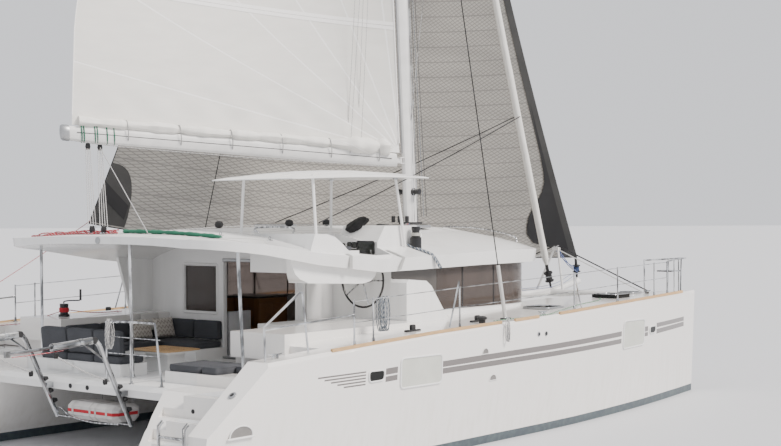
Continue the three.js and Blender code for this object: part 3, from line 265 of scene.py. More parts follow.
# A cushion's section from the middle of its foot to the middle of its top: share of the plan, inset and lift
# in edge radii, and whether the lift counts from the top
PAD_SECTION = np.array([
    (0.05, 1, 0, 0), (0.5, 1, 0, 0), (0.97, 1, 0, 0), (1, 0.35, 0.3, 0), (1, 0, 1, 0), (1, -0.12, 2, 0),
    (1, 0, -1, 1), (1, 0.3, -0.35, 1), (0.985, 0.8, -0.05, 1), (0.93, 1, 0, 1), (0.8, 1, 0, 1),
    (0.6, 1, 0, 1), (0.35, 1, 0, 1), (0.05, 1, 0, 1),
])
PIPING_ROWS, PIPING = (7, 3), 0.006


def pad(centre, size, ways=UPRIGHT, edge=0.022, crown=0.022, pull=0.03, square=9):
    """A cushion with piping: a squared outline whose sides pull in between its corners, under a crowned top.

    The outline is a square's edge drawn in towards a power curve. The crown falls by a power of the share.
    """
    half = np.asarray(size, float) / 2
    step = np.linspace(-1, 1, 17)[:-1]
    edges = [np.stack([step, -np.ones(16)], -1)]
    for _ in range(3):
        edges.append(np.stack([-edges[-1][:, 1], edges[-1][:, 0]], -1))
    flat = np.vstack(edges)
    cornered = np.abs(flat).min(axis=1, keepdims=True) ** 2
    flat = flat / (np.abs(flat) ** square).sum(axis=1, keepdims=True) ** (1 / square)
    flat = flat * (1 - pull * (1 - cornered))
    share, inset, lift, top = PAD_SECTION.T[:, :, None]
    x = flat[:, 0] * (half[0] - edge * inset) * share
    y = flat[:, 1] * (half[1] - edge * inset) * share
    rim = np.where(top > 0, half[2] - crown + edge * lift, edge * lift - half[2])
    z = rim + top * crown * (1 - (share * np.abs(flat).max(axis=1)) ** 2.4)
    rings = np.asarray(centre) + np.stack([x, y, z * np.ones_like(x)], -1) @ ways
    return joined([capped(rings)] + [hoop(rings[row], PIPING) for row in PIPING_ROWS])


def piece(name, shells, finish, body="boat", smooth=True, replaces=()):
    """Puts shells in a mesh of their own, faces outward, in one finish and riding on a body if named."""
    points, faces = joined(shells)
    mesh = bpy.data.meshes.new(name)
    mesh.from_pydata(np.asarray(points).tolist(), [], faces)
    outward = bmesh.new()
    outward.from_mesh(mesh)
    bmesh.ops.recalc_face_normals(outward, faces=outward.faces)
    outward.to_mesh(mesh)
    outward.free()
    mesh.polygons.foreach_set("use_smooth", [smooth] * len(mesh.polygons))
    mesh.materials.append(finish)
    made = bpy.data.objects.new(name, mesh)
    bpy.context.scene.collection.objects.link(made)
    if body:
        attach(made, body)
    if replaces:
        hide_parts(*replaces)
    if smooth:
        split = made.modifiers.new("edges", "EDGE_SPLIT")
        split.split_angle = math.radians(42)
    return made


def point_attribute(made, name, values):
    """Keeps three numbers at each point of a piece under a name."""
    attribute = made.data.attributes.new(name, "FLOAT_VECTOR", "POINT")
    attribute.data.foreach_set("vector", values.astype(np.float32).ravel())


# Materials, all on Object coordinates or on an attribute of the piece

class Wire:
    """A value in a material. Sums with it, and each method below, add a node and give that node's value."""

    def __init__(self, made, socket):
        self.made, self.socket = made, socket

    def math(self, operation, *others):
        """One step of arithmetic."""
        return node(self.made, "Math", dict(enumerate((self, *others))), operation=operation)

    def __add__(self, other):
        return self.math("ADD", other)

    def __sub__(self, other):
        return self.math("SUBTRACT", other)

    def __mul__(self, other):
        return self.math("MULTIPLY", other)

    def __truediv__(self, other):
        return self.math("DIVIDE", other)

    def __lt__(self, other):
        return self.math("LESS_THAN", other)

    def __gt__(self, other):
        return self.math("GREATER_THAN", other)

    def axis(self, number):
        """One axis of a vector."""
        return node(self.made, "SeparateXYZ", {0: self}, number)

    def noise(self, scale, detail=4.0):
        """Cloudy noise from nought to one."""
        return node(self.made, "TexNoise", {"Vector": self, "Scale": scale, "Detail": detail})

    def between(self, low, high):
        """The value carried from low..high to nought..one and held there."""
        return node(self.made, "MapRange", {0: self, 1: low, 2: high})

    def mix(self, a, b):
        """One colour turning into another by this share."""
        tones = [tone if isinstance(tone, Wire) else (*tone, 1) for tone in (a, b)]
        return node(self.made, "MixRGB", {0: self, 1: tones[0], 2: tones[1]})


def node(made, kind, sockets=(), out=0, **settings):
    """A node with its settings, each socket either linked or given a number, and the value of one output."""
    new = made.node_tree.nodes.new("ShaderNode" + kind)
    for key, value in settings.items():
        setattr(new, key, value)
    for key, value in dict(sockets).items():
        if isinstance(value, Wire):
            made.node_tree.links.new(value.socket, new.inputs[key])
        else:
            new.inputs[key].default_value = value
    return Wire(made, new.outputs[out])


def material(name, colour, roughness, **more):
    """A starting material with its fixed numbers set on the shader's own sockets."""
    made = bpy.data.materials.new(name)
    made.use_nodes = True
    shader = made.node_tree.nodes["Principled BSDF"]
    shader.inputs["Base Color"].default_value = (*colour, 1)
    shader.inputs["Roughness"].default_value = roughness
    for socket, value in more.items():
        shader.inputs[socket.replace("_", " ")].default_value = value
    return made


def wired(made, bump=None, depth=0.0, **sockets):
    """Links values to the shader's sockets, and bumps the surface by a value over a real depth in metres."""
    if bump:
        sockets["Normal"] = node(made, "Bump", {"Height": bump, "Distance": depth, "Strength": 1.0}, "Normal")
    shader = made.node_tree.nodes["Principled BSDF"]
    for socket, value in sockets.items():
        made.node_tree.links.new(value.socket, shader.inputs[socket.replace("_", " ")])
    return made


def place(made, stretch=(1, 1, 1)):
    """Object coordinates, stretched along each axis."""
    return node(made, "Mapping", {"Vector": node(made, "TexCoord", out="Object"), "Scale": stretch})


def attribute(made, name):
    """The three numbers that a piece keeps at its points."""
    return node(made, "Attribute", out="Vector", attribute_name=name)


def shade(colour, share):
    """A colour made darker or lighter."""
    return tuple(channel * share for channel in colour)


def clouded(name, colour, roughness, spread=0.08, scale=2.0, grain=0.0, grain_size=400.0, **more):
    """A finish whose colour and gloss vary in soft clouds, with a fine grain raised on it."""
    made = material(name, colour, roughness, **more)
    where = place(made)
    cloud = where.noise(scale)
    bump = where.noise(grain_size, 2.0) if grain else None
    tone = cloud.between(0.3, 0.7).mix(shade(colour, 1 - spread), colour)
    return wired(made, bump, grain, Base_Color=tone, Roughness=cloud * (0.25 * roughness) + roughness * 0.87)


def gelcoat_finish():
    """Moulded white gelcoat: faint clouds, a slow waviness, and a gripping grain in panels on level decks."""
    white = (0.8, 0.8, 0.79)
    made = material("gelcoat", white, 0.24, Coat_Weight=0.3, Coat_Roughness=0.08)
    where = place(made)
    cloud = where.noise(1.4)
    dirt = cloud.between(0.35, 0.75) * place(made, (3.0, 3.0, 0.4)).noise(2.2).between(0.35, 0.8)
    level = node(made, "NewGeometry", out="Normal").axis(2).between(0.985, 0.995)
    inside = [
        where.axis(side).math("PINGPONG", reach).between(0.035, 0.045)
        for side, reach in ((0, 0.62), (1, 0.47))
    ]
    grip = level * inside[0] * inside[1]
    pimples = node(made, "TexVoronoi", {"Vector": where, "Scale": 260.0}, "Distance")
    tone = dirt.mix(white, (0.69, 0.69, 0.67))
    return wired(made, grip * pimples * 0.5 + cloud, 0.0016, Base_Color=tone, Roughness=grip * 0.35 + 0.24)


# Painted bars on the hulls' sides: from x, to x, low z and high z where they start, and their rise per metre
HULL_BARS = [
    (-2.4, 2.98, 1.283, 1.371, 0.0135), (-2.4, 2.98, 1.185, 1.268, 0.0085),
    (-3.68, -3.42, 1.285, 1.374, 0.03),
    (-3.68, -3.42, 1.186, 1.262, 0.03), (4.0, 4.19, 1.36, 1.45, 0.0), (4.0, 4.19, 1.274, 1.345, 0.0),
    (4.63, 6.25, 1.395, 1.477, 0.009), (4.63, 6.25, 1.28, 1.366, 0.017), (-5.07, -4.1, 1.352, 1.374, 0.0),
    (-4.94, -4.1, 1.31, 1.332, 0.0), (-4.81, -4.1, 1.268, 1.29, 0.0), (-4.68, -4.1, 1.226, 1.248, 0.0),
    (-4.55, -4.1, 1.184, 1.206, 0.0),
]


def painted_bar(x, z, row):
    """One where a painted bar lies, nought elsewhere."""
    start, stop, low, high, rise = row
    height = z - (x * rise - rise * start)
    across = height.math("COMPARE", (low + high) / 2, (high - low) / 2)
    return across * x.math("COMPARE", (start + stop) / 2, (stop - start) / 2)


def hull_finish():
    """Warm white topsides with their bars, over bottom paint that ends a little above the water."""
    white, grey, bottom = (0.82, 0.80, 0.77), (0.15, 0.135, 0.13), (0.045, 0.062, 0.075)
    made = material("hull_paint", white, 0.2, Coat_Weight=0.4, Coat_Roughness=0.06)
    where = place(made)
    x, y, z = (where.axis(side) for side in range(3))
    cloud = where.noise(0.8)
    stain = place(made, (5.0, 5.0, 0.3)).noise(2.0).between(0.45, 0.8) * z.between(1.3, 0.15)
    paint = (stain * 0.35).mix(white, (0.56, 0.52, 0.43))
    bars = painted_bar(x, z, HULL_BARS[0])
    for row in HULL_BARS[1:]:
        bars = bars.math("MAXIMUM", painted_bar(x, z, row))
    outside = y.math("ABSOLUTE") > 3.05
    paint = (bars * outside).mix(paint, grey)
    rough_bottom = where.noise(9.0).between(0.4, 0.7).mix(bottom, (0.07, 0.1, 0.105))
    below = (z + (cloud - 0.5) * 0.01).between(0.135, 0.13)
    return wired(made, cloud, 0.004, Base_Color=below.mix(paint, rough_bottom), Roughness=below * 0.5 + 0.2)


def steel_finish(name, colour, roughness):
    """Polished steel: long dark and bright painted reflections drawn out along it in its colour, and fine
    rubbing marks.
    """
    made = material(name, colour, roughness, Metallic=1.0)
    marks = place(made).noise(220.0, 2.0)
    # Painted reflections: dark and bright streaks drawn out along the bar, put into the base colour.
    painted_reflections = place(made, (1.4, 9.0, 1.4)).noise(2.6, 2.0)
    tone = painted_reflections.between(0.4, 0.6).mix(shade(colour, 0.42), shade(colour, 1.35))
    return wired(made, marks, 0.0001, Base_Color=tone, Roughness=marks * 0.12 + (roughness - 0.05))


def woven(name, colour, thread=0.0011, fleck=0.25):
    """Woven cloth: two crossing sets of threads, with flecks and faded patches."""
    made = material(name, colour, 0.85)
    where = place(made)
    x, y, z = ((where.axis(side) * (math.pi / thread)).math("SINE") for side in range(3))
    weave = (x + z) * (y + z)
    base = where.noise(3.0).between(0.3, 0.75).mix(shade(colour, 0.82), shade(colour, 1.1))
    flecks = where.noise(500.0, 1.0).between(0.45, 0.7) * fleck
    return wired(made, weave.between(-2.0, 2.0), 0.0005, Base_Color=flecks.mix(base, shade(colour, 2.0)))


def planked(name, colour, width, seam, roughness):
    """Wood in planks along X: long grain, a tone for each plank and dark seams between them."""
    made = material(name, colour, roughness)
    count = place(made).axis(1) / width
    tone = node(made, "TexWhiteNoise", {"W": count.math("FLOOR")}, noise_dimensions="1D")
    grain = place(made, (1.5, 30.0, 30.0)).noise(6.0, 6.0)
    wood = (tone * 0.35 + grain.between(0.25, 0.8)).mix(shade(colour, 0.6), shade(colour, 1.2))
    gap = count.math("FRACT") < seam / width
    return wired(made, grain - gap, 0.0008, Base_Color=gap.mix(wood, (0.03, 0.028, 0.025)))


def glass_finish(name, colour, share, bend=1.45):
    """Tinted glass that lets some light through, faintly smeared."""
    made = material(name, colour, 0.04, Transmission_Weight=share, IOR=bend)
    smear = place(made).noise(3.5)
    return wired(made, Base_Color=smear.mix(colour, shade(colour, 1.35)), Roughness=smear.between(-0.3, 9.0))


# The mainsail's seams: how many panels fan out from the tack to a radian, where the first starts, up to what
# height, and how far apart the level seams above them are
FAN_RATE, FAN_START, FAN_TOP, PANEL = 3.82, 0.3, 8.28, 0.92


def sail_finish():
    """White woven sailcloth: panels that fan out from the tack, level ones above them, and soft creases with
    painted shade along them.
    """
    white = (0.78, 0.765, 0.72)
    made = material("sailcloth", white, 0.62, Sheen_Weight=0.15)
    cut = attribute(made, "cut")
    foot, height = cut.axis(0), cut.axis(1)
    reach = (foot * foot + height * height).math("SQRT")
    turn = (height.math("ARCTAN2", foot) * FAN_RATE + FAN_START).math("FRACT")
    fanned = (turn * reach < 0.12) * (height < FAN_TOP)
    level = ((height / PANEL).math("FRACT") < 0.02) * (height > FAN_TOP)
    seam = level + fanned
    crease = place(made, (1.0, 1.0, 3.0)).noise(1.6, 6.0)
    # Painted shade: the cloth's colour darkens a little where the creases lie.
    tone = crease.between(0.3, 0.7).mix(shade(white, 0.93), white)
    threads = place(made).noise(700.0, 1.0)
    bump = threads * 0.06 + crease + seam
    return wired(made, bump, 0.006, Base_Color=seam.mix(tone, (0.9, 0.89, 0.87)))


# Threads in the laminate: their slope on the cloth, spacing in metres, and half width as a share of it
LAMINATE_THREADS = ((0.55, 0.062, 0.17), (-0.9, 0.1, 0.12), (0.08, 0.3, 0.05))


def laminate_finish():
    """Grey film with a slanted mesh of darker threads and long creases, lighter and darker along them by
    painted sheen and shade, through which some light comes.
    """
    film, thread = (0.4, 0.375, 0.33), (0.1, 0.095, 0.09)
    made = material("laminate", film, 0.42, Transmission_Weight=0.25, IOR=1.02, Coat_Weight=0.2)
    cut = attribute(made, "cut")
    u, v = cut.axis(0), cut.axis(1)
    bend = u * u * 0.035
    lines = []
    for slope, spacing, width in LAMINATE_THREADS:
        along = u * slope + v + bend * -slope
        lines.append((along / spacing).math("PINGPONG", 0.5).between(width, width * 0.5))
    mesh = lines[0].math("MAXIMUM", lines[1]).math("MAXIMUM", lines[2])
    cloud = node(made, "Mapping", {"Vector": cut, "Scale": (0.5, 2.6, 1.0)}).noise(1.1, 7.0)
    # Painted sheen and shade: the film's colour lightens and darkens in long streaks along the creases.
    light = cloud.between(0.32, 0.68).mix(shade(film, 0.88), shade(film, 1.14))
    return wired(made, mesh * 0.1 + cloud, 0.012, Base_Color=(mesh * 0.6).mix(light, thread))


def rope_finish(name, colour, fleck):
    """Laid rope: strands turning round it, with painted shade in the grooves between them, and flecks of a
    second yarn.
    """
    made = material(name, colour, 0.8)
    lay = attribute(made, "lay")
    turn, along = lay.axis(1).math("ARCTAN2", lay.axis(0)), lay.axis(2)
    strand = (along * 260.0 + turn * 3.0).math("SINE")
    yarn = (along * -90.0 + turn * 2.0).math("SINE")
    # Painted shade: the colour darkens in the grooves between the strands.
    base = strand.between(-1.0, 0.4).mix(shade(colour, 0.55), colour)
    return wired(made, strand, 0.001, Base_Color=yarn.between(0.75, 0.85).mix(base, fleck))


def net_finish():
    """White knotted mesh: two slanting sets of cords with clear holes between them."""
    made = material("netting", (0.66, 0.66, 0.63), 0.85)
    where = place(made)
    x, y = where.axis(0), where.axis(1)
    cords = [((y * sign + x) / 0.05).math("PINGPONG", 0.5).between(0.16, 0.08) for sign in (1, -1)]
    cord = cords[0].math("MAXIMUM", cords[1])
    tone = where.noise(60.0).mix((0.5, 0.5, 0.47), (0.72, 0.72, 0.69))
    return wired(made, cord, 0.003, Base_Color=tone, Alpha=cord > 0.5)


def pillow_finish():
    """Light cotton with a soft printed zigzag in sand tones, following the pillow's own cut."""
    made = material("pillow_print", (0.6, 0.57, 0.52), 0.9, Sheen_Weight=0.3)
    where = place(made)
    zigzag = (where.axis(0) / 0.075).math("PINGPONG", 0.5) * 0.1
    rows = ((where.axis(2) + zigzag) / 0.075).math("FRACT")
    tone = rows.between(0.42, 0.5).mix((0.33, 0.29, 0.25), (0.62, 0.59, 0.54))
    tone = rows.math("COMPARE", 0.75, 0.12).mix(tone, (0.47, 0.43, 0.38))
    return wired(made, where.noise(600.0, 2.0), 0.0006, Base_Color=tone)


gelcoat = gelcoat_finish()
hull_paint = hull_finish()
antifoul = clouded("bottom_paint", (0.05, 0.07, 0.085), 0.75, 0.4, 5.0, 0.001, 120.0)
stainless = steel_finish("polished_steel", (0.5, 0.51, 0.52), 0.14)
spar_paint = clouded("spar_paint", (0.76, 0.755, 0.74), 0.32, 0.12, 4.0, 0.0003)
anodised = clouded("anodised_alloy", (0.42, 0.43, 0.44), 0.38, 0.2, 5.0, 0.0002, Metallic=0.8)
sailcloth = sail_finish()
laminate = laminate_finish()
band_cloth = clouded("dark_band_cloth", (0.028, 0.028, 0.03), 0.6, 0.4, 2.0, 0.001, 300.0)
patch_cloth = clouded("patch_cloth", (0.075, 0.074, 0.072), 0.55, 0.35, 1.5, 0.001, 300.0)
tinted = glass_finish("tinted_glass", (0.17, 0.14, 0.125), 0.72, 1.3)
dark_glass = glass_finish("dark_glass", (0.016, 0.017, 0.017), 0.05, 1.2)
teak = planked("teak", (0.5, 0.3, 0.13), 0.05, 0.004, 0.62)
plain_teak = planked("plain_teak", (0.52, 0.33, 0.16), 0.4, 0.0, 0.6)
joinery = planked("joinery", (0.27, 0.13, 0.055), 0.28, 0.0015, 0.32)
canvas = woven("cushion_canvas", (0.05, 0.053, 0.06))
pale_canvas = woven("pale_canvas", (0.5, 0.49, 0.47), fleck=0.1)
black_canvas = woven("black_canvas", (0.012, 0.012, 0.013))
green_canvas = woven("green_canvas", (0.02, 0.13, 0.075))
grey_strap = woven("grey_webbing", (0.36, 0.36, 0.35), 0.002)
red_strap = woven("red_webbing", (0.42, 0.02, 0.03), 0.002)
pillow_print = pillow_finish()
black = clouded("black_paint", (0.012, 0.012, 0.013), 0.34, 0.4, 8.0, 0.0004)
rubber = clouded("rubber", (0.02, 0.02, 0.021), 0.75, 0.3, 10.0, 0.0006)
netting = net_finish()
engine_grey = clouded("engine_grey", (0.2, 0.22, 0.24), 0.5, 0.3, 6.0, 0.001)
bronze = steel_finish("bronze", (0.45, 0.33, 0.12), 0.3)
canister = clouded("canister_plastic", (0.62, 0.6, 0.58), 0.5, 0.25, 5.0, 0.003, 60.0)
dial = clouded("dial", (0.03, 0.035, 0.03), 0.12, 0.5, 30.0)
dark_wire = steel_finish("dark_wire", (0.05, 0.05, 0.052), 0.35)
# Painted shade: the dark grey that stands for the inside of the outlets.
recess_shade_grey = clouded("recess_shade_grey", (0.22, 0.21, 0.2), 0.5, 0.25, 8.0)
panel_grey = clouded("panel_grey", (0.075, 0.068, 0.063), 0.42, 0.12, 3.0)
pane_glass = glass_finish("pane_glass", (0.5, 0.51, 0.46), 0.05)
net_cord = clouded("net_edge_cord", (0.6, 0.6, 0.57), 0.85, 0.3, 90.0, 0.001)
blue_line = clouded("furling_line", (0.05, 0.09, 0.22), 0.8, 0.5, 90.0, 0.001)
tie_webbing = woven("sail_tie_webbing", (0.3, 0.3, 0.3), 0.002)
white_line = clouded("winch_line", (0.55, 0.54, 0.5), 0.8, 0.3, 90.0, 0.001)
grip_pad = clouded("grip_pad", (0.66, 0.67, 0.68), 0.85, 0.15, 5.0, 0.002, 220.0)
worktop = clouded("worktop", (0.09, 0.085, 0.08), 0.25, 0.3, 9.0)
white_rope = rope_finish("white_rope", (0.66, 0.65, 0.62), (0.05, 0.06, 0.12))
red_rope = rope_finish("red_rope", (0.5, 0.03, 0.05), (0.65, 0.6, 0.58))
green_rope = rope_finish("green_rope", (0.03, 0.2, 0.1), (0.6, 0.6, 0.5))
grey_rope = rope_finish("grey_rope", (0.13, 0.16, 0.2), (0.7, 0.7, 0.68))
black_rope = rope_finish("black_rope", (0.03, 0.03, 0.032), (0.3, 0.3, 0.3))
blue_rope = rope_finish("blue_rope", (0.04, 0.1, 0.35), (0.6, 0.6, 0.6))

BY_SLOT = {
    "gelcoat": gelcoat, "antifoul": antifoul, "stainless": stainless, "spar": spar_paint,
    "sailcloth": sailcloth, "laminate": laminate, "glass": tinted, "teak": plain_teak, "joinery": joinery,
    "cushion": canvas, "pillow": pillow_print, "black": black, "net": netting, "engine": engine_grey,
    "bronze": bronze,
}
BY_NODE = {
    "hull_port": hull_paint, "hull_starboard": hull_paint, "mast": spar_paint, "shroud_port": dark_wire,
    "shroud_starboard": dark_wire, "liferaft": canister, "cockpit_table": gelcoat,
    "fore_hatch_port": dark_glass, "fore_hatch_starboard": dark_glass, "bulkhead_pane": tinted,
}


def dress_frame():
    """Gives each CAD node its finish and rounds its shading across shallow edges."""
    slots = {row["node"]: row["material_slot"] for row in frame["record"]["subparts"]}
    for name, solid in nodes.items():
        solid.data.materials.clear()
        solid.data.materials.append(BY_NODE.get(name, BY_SLOT[slots[name]]))
        solid.data.polygons.foreach_set("use_smooth", [True] * len(solid.data.polygons))
        weld = solid.modifiers.new("weld", "WELD")
        weld.merge_threshold = 1e-5
        split = solid.modifiers.new("edges", "EDGE_SPLIT")
        split.split_angle = math.radians(28)


dress_frame()


# Ropes: slack ones and taut ones

def rope(name, path, radius, finish, body="boat"):
    """A six-sided rope along a path, which keeps the turn and the length at each point for its strands."""
    path = np.asarray(path, float)
    made = piece(name, tube(path, radius, 6), finish, body)
    length = np.concatenate([[0], np.cumsum(np.linalg.norm(np.diff(path, axis=0), axis=1))])
    turns = np.tile(np.column_stack([np.cos(angles(6)), np.sin(angles(6))]), (len(path), 1))
    lay = np.column_stack([turns, np.repeat(length, 6)])
    point_attribute(made, "lay", np.vstack([lay, [[1, 0, 0], [1, 0, length[-1]]]]))
    return made


def free_rope(name, path, radius, finish):
    """A slack rope, made like any other rope."""
    made = rope(name, path, radius, finish)
    2 * radius


def hank(top, wide, tall, radius, turns, across):
    """A rope hung in long turns: an ellipse that moves on a little each turn, its sizes waving by a sine."""
    angle = np.linspace(0, 2 * math.pi * turns, turns * 28 + 1) + math.pi / 2
    across = unit(np.asarray(across, float))
    side = np.cross(across, UP)
    step = (angle - angle[0]) / (2 * math.pi) - turns / 2
    wave = np.sin(step * 2.4)[:, None]
    level = np.cos(angle)[:, None] * side * wide / 2 * (0.75 + 0.25 * wave)
    upright = (np.sin(angle)[:, None] * (0.94 + 0.06 * wave) - 0.06 * (1 - wave)) * UP * tall / 2
    return np.asarray(top) - UP * tall / 2 + level + upright + step[:, None] * across * radius * 2.3


# Hanks on the rails: top, width, height, rope radius, turns, way across, finish
HANKS = {
    "stern_rail_hank": ((-5.8, -0.6, 2.04), 0.13, 0.42, 0.007, 6, (0, 1, 0), white_rope),
    "step_hank": ((-3.02, -3.3, 2.32), 0.15, 0.5, 0.008, 9, (0.9, -0.2, 0), grey_rope),
    "rail_hank": ((-0.85, -3.965, 1.91), 0.11, 0.36, 0.007, 3, (0, 1, 0), white_rope),
}
for hank_name, (*hank_sizes, hank_finish) in HANKS.items():
    free_rope(hank_name, hank(*hank_sizes), hank_sizes[3], hank_finish)


# Surfaces of the boat that pieces lie on

def deck_height(x):
    """Height of the hulls' deck."""
    return np.interp(x, *SHEER.T) + DECK_RISE


def on_deck(x, y, lift=0.0):
    """A point over a hull's deck."""
    return np.array((x, y, float(deck_height(x)) + lift))


def outer_side(x):
    """Half beam at the side edge: full to a little ahead of amidships, then in to the stem by a power."""
    t = np.clip((np.asarray(x, float) - 0.3) / (HALF_LENGTH - 0.3), 0, 1)
    return 3.92 - 0.915 * t**1.68


STATIONS = np.array((-6.98, -1, 0.5, 1.5, 2.5, 3.6, 4.2, 4.8, 5.4, 5.9, 6.3, 6.6, 6.8, 6.98))


def on_side(x, z, lift=0.0):
    """Points on a hull's outer side: the side edge leans in by a fifteenth of its reach at 0.9 m up."""
    x, z = np.broadcast_arrays(np.asarray(x, float), np.asarray(z, float))
    edge = np.interp(x, STATIONS, outer_side(STATIONS))
    low = HULL_CENTRE + 0.934 * (edge - HULL_CENTRE)
    y = low + (edge - low) * (z - 0.9) / (np.interp(x, *SHEER.T) - 0.9)
    return np.stack([x, y + lift, z], -1)


def on_roof(x, y, lift=0.0):
    """Points on the roof: a spine and a side edge, with a power of the share of the half width between."""
    x, y = np.broadcast_arrays(np.asarray(x, float), np.asarray(y, float))
    aft, front = np.clip(x + 5.5, 0, 0.75), np.clip(2.95 - x, 0, 1.3)
    half = 2.55 - (0.75 - np.sqrt(0.75**2 - (0.75 - aft) ** 2)) - (1.3 - np.sqrt(1.3**2 - (1.3 - front) ** 2))
    edge = np.interp(x, *ROOF_LIP.T) + np.interp(x, *ROOF_FASCIA.T)
    z = edge + (np.interp(x, *ROOF_SPINE.T) - edge) * (1 - np.clip(np.abs(y) / half, 0, 1) ** 2.2)
    return np.stack([x, y, z + lift], -1)


# Hull sides

def corner_loop(corners, lift, corner):
    """A closed line on the hull's side round four corners in x and z, each rounded by a quadratic curve."""
    spots = np.asarray(corners, float)
    before, after = np.roll(spots, 1, axis=0), np.roll(spots, -1, axis=0)
    start, stop = spots + unit(before - spots) * corner, spots + unit(after - spots) * corner
    t = np.linspace(0, 1, 6)[None, :, None]
    line = start[:, None] * (1 - t) ** 2 + 2 * spots[:, None] * t * (1 - t) + stop[:, None] * t**2
    return on_side(*line.reshape(-1, 2).T, lift)


def disc(loop):
    """A flat closed disc over a loop of points, thickened inwards by 10 mm."""
    return capped(np.stack([loop, loop - (0, 0.01, 0)]))


# Panes in the topsides: frame's bar radius, corner radius, glass, and four corners from the lower aft one
LARGE_PANE, SMALL_PANE = (0.014, 0.07, pane_glass), (0.012, 0.06, dark_glass)
HULL_PANES = {
    "hull_window": (*LARGE_PANE, ((-3.35, 1.066), (-2.41, 1.064), (-2.43, 1.477), (-3.365, 1.487))),
    "forward_hull_window": (*LARGE_PANE, ((3.04, 1.13), (3.97, 1.137), (3.98, 1.593), (3.06, 1.611))),
    "aft_portlight": (*SMALL_PANE, ((-4.035, 1.215), (-3.72, 1.22), (-3.715, 1.362), (-4.05, 1.366))),
    "bow_portlight": (*SMALL_PANE, ((4.265, 1.31), (4.54, 1.305), (4.56, 1.435), (4.26, 1.437))),
}
VENTS = ((0.074, 1.596), (0.284, 1.591))
# Outlets: x and z of the sill's middle, half width and height
OUTLETS = ((-6.42, 0.75, 0.2, 0.15), (-1.35, 1.395, 0.075, 0.085), (-1.12, 0.98, 0.085, 0.085))
TOE_RAILS = ((-4.76, -0.88), (-0.52, 0.14), (0.76, 6.3))
TOE_RAIL_SECTION = np.array([(0, -0.014, 0.024), (0, 0.017, 0.02), (0, 0.02, -0.02), (0, -0.02, -0.02)])
STERN_RING, STERN_RING_WAY = (-6.42, 3.7, 1.258), (-0.62, 0, 0.78)


def dress_panes():
    """Panes and portlights with thin white frames."""
    for name, (bar, corner, glass, corners) in HULL_PANES.items():
        piece(f"{name}_glass", both(disc(corner_loop(corners, 0.009, corner))), glass)
        piece(f"{name}_frame", both(hoop(corner_loop(corners, 0.008, corner), bar, 8)), gelcoat)


def round_on_side(x, z, radius, lift):
    """A circle on the hull's side."""
    return on_side(x + radius * np.cos(angles(20)), z + radius * np.sin(angles(20)), lift)


def dress_openings():
    """Steel-ringed vents with black discs of painted shade in them, and arched outlets with a lip over each,
    their hollows flat grey discs of painted shade.
    """
    piece("vent_rings", both([hoop(round_on_side(x, z, 0.03, 0.006), 0.0072) for x, z in VENTS]), stainless)
    # Painted shade: a black disc stands for the dark inside of each vent.
    piece("vent_holes", both([disc(round_on_side(x, z, 0.027, 0.004)) for x, z in VENTS]), black)
    turn = np.linspace(0, math.pi, 14)
    hollows, lips = [], []
    for x, z, half, tall in OUTLETS:
        arch_x, arch_z = x - half * np.cos(turn) * (1 - 0.12 * np.sin(turn)), z + tall * np.sin(turn) ** 0.62
        hollows.append(disc(on_side(arch_x[::-1], arch_z[::-1], 0.004)))
        lips.append(tube(on_side(np.linspace(x - half * 1.15, x + half * 1.1, 14), z, 0.008), half * 0.07))
        lips.append(tube(on_side(arch_x, arch_z, 0.006), half * 0.05))
    # Painted shade: each outlet's hollow is a flat dark grey disc standing for the shade inside it.
    piece("outlet_hollows", both(hollows), recess_shade_grey)
    piece("outlet_lips", both(lips), gelcoat)


def dress_toe_rails():
    """Teak rails along the decks' edges, and a towing ring on each stern."""
    rails = []
    for start, stop in TOE_RAILS:
        x = np.linspace(start, stop, 30)
        spots = np.stack([x, outer_side(x) - 0.062, deck_height(x) + 0.008], -1)
        rails.append(capped(spots[:, None] + TOE_RAIL_SECTION))
    piece("toe_rails", both(rails), plain_teak)
    base = [(0.055, 0), (0.055, 0.01), (0.042, 0.016), (0.03, 0.016), (0.028, 0.008)]
    cap = [(0.027, 0), (0.027, 0.012), (0.01, 0.015)]
    piece("stern_rings", both(turned(base, STERN_RING, STERN_RING_WAY)), anodised)
    piece("stern_ring_caps", both(turned(cap, STERN_RING, STERN_RING_WAY)), rubber)


dress_panes()
dress_openings()
dress_toe_rails()


# Deck fittings

def cleat(spot):
    """A two-horned mooring cleat, 0.26 m over its horns, on two feet."""
    horn = curve([(-0.13, 0, 0.062), (-0.08, 0, 0.052), (0, 0, 0.05), (0.08, 0, 0.052), (0.13, 0, 0.062)], 14)
    thick = np.interp(np.linspace(-1, 1, 14), (-1, 0, 1), (0.006, 0.015, 0.006))
    feet = [block(spot + (x, 0, 0.022), (0.03, 0.04, 0.05), 0.008) for x in (-0.035, 0.035)]
    return [tube(horn + spot, thick), *feet]


STANCHION_X = (-3.8, -1.82, 1.4, 3.07, 4.85, -4.2, 5.6)
GATE_BRACES = (((-1.82, 3.76, 2.5), (-2.06, 3.76, 1.83)), ((1.4, 3.73, 2.5), (1.62, 3.73, 1.9)))
CLEATS = {"bow_cleats": (5.35, 2.86), "spring_cleats": (0.44, 3.74), "stern_cleats": (-5.62, 3.66)}
SHEET_LEADS = {"jib_leads": (-2.5, 3.42), "aft_leads": (-0.9, 3.42)}
DECK_HATCHES = {"cabin_hatches": (1.5, 3.05, 0.46), "bow_hatches": (5.3, 2.5, 0.3)}


